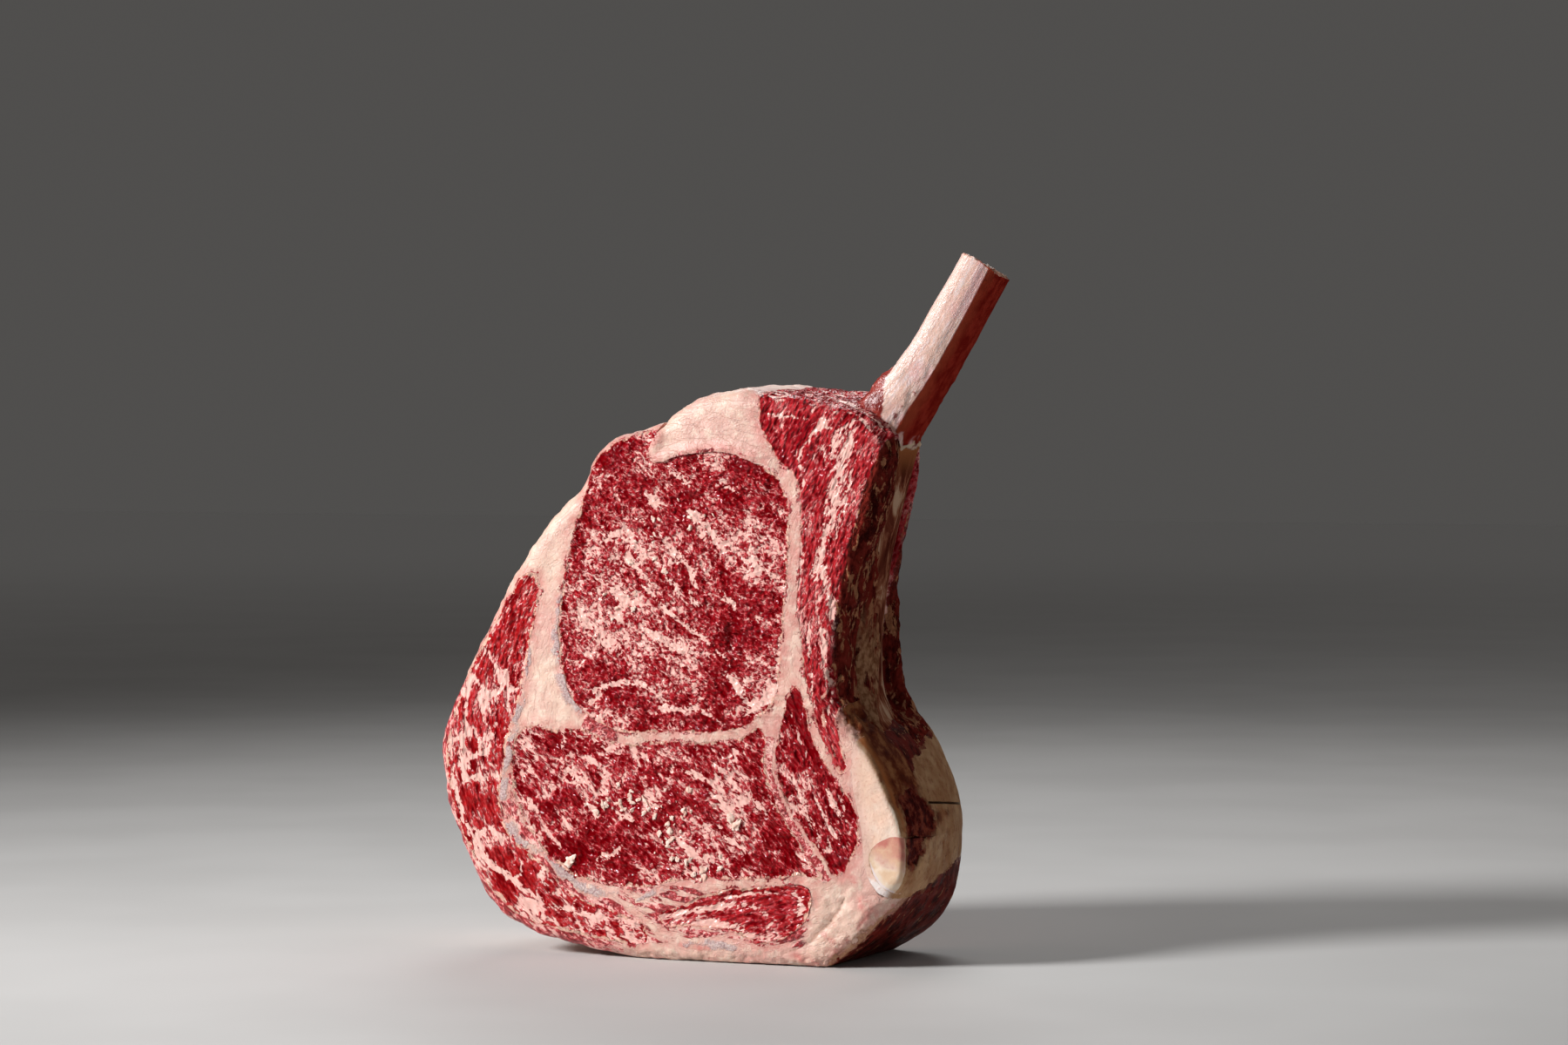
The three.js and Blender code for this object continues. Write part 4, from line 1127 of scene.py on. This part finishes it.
def fat_finish():
    """Cream fat with pink lobes, grey skin between the muscles and dried meat on the side."""
    f = Finish("firm fat")
    fib, masks, edge, meat = f.vector("fib"), f.masks(), f.value("edge"), f.value("meat")
    broad = f.noise(f.place, 17.0, 1, detail=2.0)
    lobes = f.noise(f.place, 3.4, 2, detail=3.0, rough=0.6)
    fine = f.noise(f.place, 0.7, 3, detail=2.0)
    base = f.tones(broad, (0.79, 0.54, 0.43), (0.73, 0.43, 0.36))
    base = f.mix(f.band(lobes, 0.50, 0.70, 0.0, 0.7), base, (0.88, 0.69, 0.56))
    pinkish = f.all_of(masks[1], f.band(lobes, 0.3, 0.65, 1.0, 0.35))
    base = f.mix(pinkish, base, (0.66, 0.22, 0.19))
    threads = f.ridge(f.noise(fib, 3.0, 4, (4, 6, 1), 3.0, 0.5, 0.6), 0.02)
    base = f.mix(f.all_of(threads, 0.22), base, (0.55, 0.16, 0.12))
    grain = f.noise(f.place, 0.9, 5, detail=3.0, rough=0.7)
    skin_share = f.band(f.sum_of((masks[0], 1.0), (lobes, 0.4), (grain, 0.8)), 0.92, 1.25)
    skin_tone = f.tones(grain, (0.36, 0.24, 0.25), (0.64, 0.51, 0.49), 0.4, 0.6)
    base = f.mix(f.all_of(skin_share, 0.8), base, skin_tone)
    # Painted shade: brown darkening along the crease
    base = f.mix(f.all_of(f.band(masks[2], 0.3, 0.9), 0.5), base, (0.45, 0.20, 0.13))
    red, high, _ = marbling(
        f, fib, 0.5, 0.0, (0.26, 0.006, 0.008), (0.42, 0.03, 0.035), 2.6, 4.6, 0.1, 140)
    bay = f.noise(f.place, 4.5, 7, detail=4.0, rough=0.7)
    reach = f.sum_of((bay, 9.0), (f.math("MULTIPLY_ADD", fine, 0.6, -4.6), 1.0))
    inside = f.band(f.math("SUBTRACT", reach, edge), 0.0, 0.3)
    strip = f.torn(meat, f.noise(fib, 2.6, 8, (5, 8, 1), 3.0, 0.6), 1.2, 1.05, 1.15)
    inside = f.math("MAXIMUM", inside, strip)
    base = f.mix(inside, base, red)
    dark = f.torn(f.value("dark"), lobes, 0.5, 0.68, 0.80)
    groove = f.torn(f.value("groove"), lobes, 0.4, 0.5, 0.9)
    flaky = f.all_of(f.band(f.value("dark"), 0.02, 0.2), f.band(lobes, 0.35, 0.5))
    base = f.mix(flaky, base, f.tones(lobes, (0.34, 0.10, 0.05), (0.56, 0.29, 0.16), 0.4, 0.6))
    base = f.mix(dark, f.mix(groove, base, amber(f, 150)), crust(f, 160, 0.60))
    rough = f.band(f.noise(f.place, 6.0, 6), 0.35, 0.65, 0.34, 0.52)
    shine = f.band(f.math("MAXIMUM", dark, groove), 0.0, 1.0, 0.4, 0.02)
    height = f.sum_of(
        (lobes, 0.5), (fine, 0.2), (grain, 0.35), (f.all_of(skin_share, grain), 0.5),
        (threads, -0.15), (f.all_of(inside, high), 0.5))
    return f.surface(
        Base_Color=base, Roughness=rough, Normal=f.bump(height, 0.6),
        glow=(0.12, (0.0030, 0.0012, 0.0008)),
        Specular_IOR_Level=shine, Coat_Weight=f.all_of(shine, 0.4), Coat_Roughness=0.22)


BONE_GLOW = (0.0025, 0.0012, 0.0008)


def rib_finish():
    """Scraped bone: peach and pink in front, deep red on the rib side with a painted glow of brighter red
    towards its front edge, brown among the meat.
    """
    f = Finish("scraped rib")
    fib, masks, zone, cover = f.vector("fib"), f.masks(), f.masks("zone"), f.masks("cover")
    streak = f.noise(fib, 1.0, 1, (8, 1, 0.4), 3.0, 0.6)
    mottle = f.noise(f.place, 5.5, 2, detail=3.0, rough=0.6)
    fine = f.noise(f.place, 0.6, 3, detail=2.0)
    base = f.mix(zone[0], (0.88, 0.58, 0.48), (0.86, 0.50, 0.48))
    base = f.mix(f.band(streak, 0.48, 0.64, 0.0, 0.6), base, (0.94, 0.78, 0.78))
    base = f.mix(f.band(streak, 0.32, 0.45, 0.28, 0.0), base, (0.74, 0.32, 0.27))
    sinew = f.noise(fib, 2.4, 8, (7, 1.6, 0.4), 4.0, 0.65, 0.6)
    brown = f.ramp(f.band(sinew, 0.32, 0.68), (0.0, (0.075, 0.012, 0.008)), (0.45, (0.20, 0.050, 0.028)),
                   (0.75, (0.36, 0.14, 0.075)), (1.0, (0.62, 0.40, 0.27)))
    base = f.mix(masks[1], base, f.mix(zone[1], brown, (0.36, 0.12, 0.045)))
    meat_red = f.tones(mottle, (0.22, 0.012, 0.008), (0.36, 0.034, 0.020))
    # Painted glow: brighter red on the rib side near its front edge
    meat_red = f.mix(f.all_of(f.value("glow"), 0.8), meat_red, (0.46, 0.085, 0.040))
    base = f.mix(f.band(masks[0], 0.2, 0.7), base, meat_red)
    base = f.mix(f.torn(zone[2], mottle, 0.6, 0.9, 1.2), base, (0.78, 0.58, 0.42))
    clump = f.noise(f.place, 2.6, 6, detail=3.0, rough=0.6)
    dried = f.tones(clump, (0.20, 0.075, 0.035), (0.42, 0.22, 0.12))
    dried = f.mix(f.all_of(cover[1], f.band(mottle, 0.35, 0.5)), crust(f, 170), dried)
    dark = f.torn(cover[0], mottle, 0.5, 0.68, 0.80)
    base = f.mix(dark, base, dried)
    cell = f.noise(f.place, 0.9, 4, detail=2.0, rough=0.7)
    marrow = f.tones(cell, (0.52, 0.16, 0.10), (0.84, 0.56, 0.42), 0.38, 0.58)
    base = f.mix(masks[2], base, marrow)
    rough = f.band(f.noise(f.place, 4.0, 5), 0.35, 0.65, 0.28, 0.42)
    crinkle = f.noise(fib, 1.4, 7, (1.6, 1, 0.3), 2.0, 0.6, 1.6)
    height = f.sum_of((streak, 0.35), (crinkle, 0.7), (mottle, 0.4), (fine, 0.15),
                      (f.all_of(cell, masks[2]), 0.8))
    shine = f.band(f.math("MAXIMUM", cover[2], masks[1]), 0.0, 1.0, 0.6, 0.0)
    return f.surface(
        Base_Color=base, Roughness=rough, Normal=f.bump(height, 0.4),
        glow=(0.12, BONE_GLOW),
        Specular_IOR_Level=shine, Coat_Weight=f.all_of(shine, 0.6), Coat_Roughness=0.2)


def cut_bone(f):
    """Colour of the sawn back bone, its grain, and how little it shines round the corner. The colour
    holds a painted highlight along the lit corner, a painted glow just round it and, on the rib side, tan
    that is partly painted shade.
    """
    masks, side, corner = f.masks(), f.value("side"), f.masks("corner")
    cloud = f.noise(f.place, 9.0, 1, detail=3.0)
    grain = f.noise(f.place, 1.1, 2, detail=3.0, rough=0.65)
    blot = f.noise(f.place, 3.5, 3, detail=4.0, rough=0.65)
    base = f.tones(cloud, (0.80, 0.54, 0.41), (0.87, 0.67, 0.55))
    base = f.mix(corner[0], base, (0.78, 0.50, 0.41))
    base = f.mix(f.torn(corner[2], blot, 1.4, 0.9, 1.5), base, (0.87, 0.75, 0.71))
    # Round the corner on the rib side the bone is tan and darker than in front: partly its own colour,
    # partly painted shade of that side
    tan = f.tones(cloud, (0.42, 0.21, 0.10), (0.58, 0.35, 0.19))
    tan = f.mix(f.band(blot, 0.48, 0.66, 0.0, 0.7), tan, (0.30, 0.11, 0.045))
    base = f.mix(side, base, tan)
    base = f.mix(f.band(grain, 0.52, 0.7, 0.0, 0.4), base, (0.60, 0.24, 0.16))
    # Painted highlight: the pale band along the lit corner (the paint's third value)
    base = f.mix(f.band(masks[2], 0.4, 0.9, 0.0, 0.7), base, (0.92, 0.80, 0.66))
    groove_amber = f.torn(masks[1], cloud, 0.6, 0.6, 1.1)
    base = f.mix(groove_amber, base, amber(f, 150))
    # Painted glow: brighter amber just round the corner (the corner's second value)
    base = f.mix(f.all_of(corner[1], f.band(cloud, 0.3, 0.6, 0.5, 1.0)), base, (0.50, 0.16, 0.05))
    red = f.ramp(f.band(blot, 0.3, 0.7), (0.0, (0.025, 0.002, 0.002)), (0.5, (0.11, 0.010, 0.008)),
                 (1.0, (0.30, 0.065, 0.035)))
    base = f.mix(f.torn(masks[0], blot, 0.8, 0.70, 1.05), base, red)
    meaty = f.torn(f.value("dark"), cloud, 0.5, 0.68, 0.80)
    base = f.mix(meaty, base, crust(f, 160, 0.60))
    return base, f.sum_of((cloud, 0.5), (grain, 0.5)), f.band(side, 0.0, 1.0, 0.3, 0.02)


def chine_finish():
    """The sawn back bone."""
    f = Finish("back bone")
    base, height, shine = cut_bone(f)
    rough = f.band(f.noise(f.place, 6.0, 5), 0.35, 0.65, 0.40, 0.58)
    return f.surface(
        Base_Color=base, Roughness=rough, Normal=f.bump(height, 0.5),
        glow=(0.10, BONE_GLOW),
        Specular_IOR_Level=shine, Coat_Weight=f.all_of(shine, 0.5), Coat_Roughness=0.25)


def cartilage_finish():
    """Pearly where the joint's disc shows at the front, with the back bone's colours round the corner."""
    f = Finish("pearly cartilage")
    disc = f.masks("disc")
    bone, height, shine = cut_bone(f)
    milk = f.noise(f.place, 4.0, 4, detail=4.0)
    pearl_and_highlight = f.tones(milk, (0.80, 0.56, 0.38), (0.86, 0.70, 0.56), 0.38, 0.6)
    blush = f.band(f.sum_of((disc[2], 0.8), (milk, 1.4)), 0.85, 1.65)
    pearl_and_highlight = f.mix(blush, pearl_and_highlight, (0.58, 0.19, 0.15))
    rim = f.torn(disc[1], milk, 0.5, 0.8, 1.15)
    pearl_and_highlight = f.mix(rim, pearl_and_highlight, (0.84, 0.70, 0.68))
    base = f.mix(f.torn(disc[0], milk, 0.4, 0.6, 0.9), bone, pearl_and_highlight)
    return f.surface(
        Base_Color=base, Roughness=f.band(milk, 0.35, 0.65, 0.26, 0.42),
        Normal=f.bump(f.sum_of((height, 0.6), (milk, 0.5)), 0.4),
        glow=(0.15, (0.0025, 0.0018, 0.0014)),
        Specular_IOR_Level=shine, Coat_Weight=shine, Coat_Roughness=0.15)


def crumb_finish():
    """Dry crumbs of fat."""
    f = Finish("fat crumbs")
    lump = f.noise(f.place, 1.4, 1, detail=3.0)
    base = f.tones(lump, (0.82, 0.50, 0.40), (0.92, 0.73, 0.63))
    return f.surface(
        Base_Color=base, Roughness=f.band(lump, 0.3, 0.7, 0.34, 0.5), Normal=f.bump(lump, 0.3),
        Specular_IOR_Level=0.15)


def finishes():
    """The finish of each piece, by the solid that it stands for."""
    deep, bright = (0.18, 0.0003, 0.002), (0.36, 0.007, 0.014)
    return {
        "eye_muscle": lean_finish("marbled eye", deep, bright, 1.9, 5.5, 0.05, bays=5.0),
        "cap_muscle": lean_finish("marbled cap", deep, bright, 3.0, seed=20),
        "outer_muscle": lean_finish(
            "pale outer lean", (0.32, 0.004, 0.006), (0.52, 0.030, 0.032), 3.4, 6.5, 0.24, 40),
        "strap_muscle": lean_finish(
            "strap lean", (0.26, 0.002, 0.005), (0.47, 0.020, 0.024), 3.4, 5.0, 0.1, 60, 5.0, 0.24),
        "multifidus_muscle": lean_finish(
            "dark inner lean", (0.20, 0.001, 0.004), (0.37, 0.010, 0.016), 2.8, 5.0, 0.1, 80, 4.0),
        "intercostal_muscle": lean_finish(
            "rib meat", (0.25, 0.003, 0.008), (0.46, 0.022, 0.028), 3.2, 5.0, 0.1, 100, 3.0, 0.30),
        "fat": fat_finish(),
        "rib_bone": rib_finish(),
        "chine_bone": chine_finish(),
        "joint_end": cartilage_finish(),
        "crumbs": crumb_finish(),
    }


finish_of = finishes()
# Each dressed piece, the node that it stands for and its material slot
built = [(muscle, name + "_muscle", "lean") for name, muscle in muscles.items() if muscle != meat]
built += [
    (meat, "intercostal_muscle", "dark_lean"), (fat, "fat", "fat"), (rib, "rib_bone", "bone"),
    (chine, "chine_bone", "bone"), (joint, "joint_end", "cartilage"), (scraps, None, "fat"),
]
for obj, node, slot in built:
    obj.data.materials.clear()
    obj.data.materials.append(finish_of[node or "crumbs"])
    obj.data.transform(Matrix.Scale(0.001, 4))
    obj.data.shade_smooth()
    obj.data.set_sharp_from_angle(angle=0.9)
    obj.name = obj.data.name = node + "_dressed" if node else "fat_crumbs"
    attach(obj, "root")
    if node:
        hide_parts(node)
discard(form, heel, saw, *tools.values())


# ---------------------------------------------------------------- studio, in metres
# The photo's camera: where it stands, where it looks, and its lens and frame in mm
CAMERA_PLACE = (0.5540, -1.3815, 0.195)
CAMERA_AIM = (-0.3604, 0.9324, -0.0259)
LENS, SENSOR = 94.0, 36.0
SKY, SKY_STRENGTH = (0.84, 0.81, 0.78, 1), 0.095
FLOOR_HALF = 6
FLOOR_DROP = 0.0002  # keeps the floor just clear of the steak's base
MIDDLE = (0, 0, 0.11)


def floor():
    """A pale floor that grows paler far off, so that it has no visible edge."""
    f = Finish("pale floor")
    cloud = f.noise(f.place, 120.0, 1, detail=2.0)
    away = f.node("ShaderNodeVectorMath", {0: f.place}, operation="LENGTH").outputs["Value"]
    near = f.tones(cloud, (0.58, 0.57, 0.56), (0.62, 0.61, 0.60), 0.3, 0.7)
    f.surface(Base_Color=f.mix(f.band(away, 900.0, 4500.0), near, (0.97, 0.97, 0.97)),
              Roughness=0.7, Normal=f.bump(cloud, 0.2), Specular_IOR_Level=0.2)
    corners = [(x * FLOOR_HALF, y * FLOOR_HALF, 0) for x, y in ((-1, -1), (1, -1), (1, 1), (-1, 1))]
    sheet = mesh_object("floor", corners, [(0, 1, 2, 3)])
    sheet.location.z = -FLOOR_DROP
    sheet.data.materials.append(f.material)


def lamp(name, place, target, size, power, spread=180):
    """A round soft lamp. A spread under 180 degrees keeps its light off the floor below it."""
    data = bpy.data.lights.new(name, "AREA")
    data.shape = "DISK"
    data.size = size
    data.energy = power
    data.spread = math.radians(spread)
    made = bpy.data.objects.new(name, data)
    made.location = place
    made.rotation_euler = (Vector(target) - Vector(place)).to_track_quat("-Z", "Y").to_euler()
    bpy.context.scene.collection.objects.link(made)


floor()
lamp("key", (-0.95, -1.00, 0.85), MIDDLE, 0.42, 6.3, spread=80)
lamp("fill", (0.9, -1.6, 0.5), MIDDLE, 1.2, 0.7)
lamp("back", (-0.35, 1.2, 1.25), MIDDLE, 0.9, 1.8, spread=80)
lamp("rim", (0.7, 1.0, 1.2), (0, 0, 0.15), 0.6, 1.2)
world = bpy.data.worlds.new("studio")
world.use_nodes = True
sky = world.node_tree.nodes["Background"].inputs
sky["Color"].default_value = SKY
sky["Strength"].default_value = SKY_STRENGTH
bpy.context.scene.world = world
bpy.context.scene.view_settings.view_transform = "Standard"

camera = bpy.data.objects.new("camera", bpy.data.cameras.new("camera"))
camera.data.lens = LENS
camera.data.sensor_width = SENSOR
camera.location = CAMERA_PLACE
camera.rotation_euler = Vector(CAMERA_AIM).to_track_quat("-Z", "Y").to_euler()
bpy.context.scene.collection.objects.link(camera)
bpy.context.scene.camera = camera
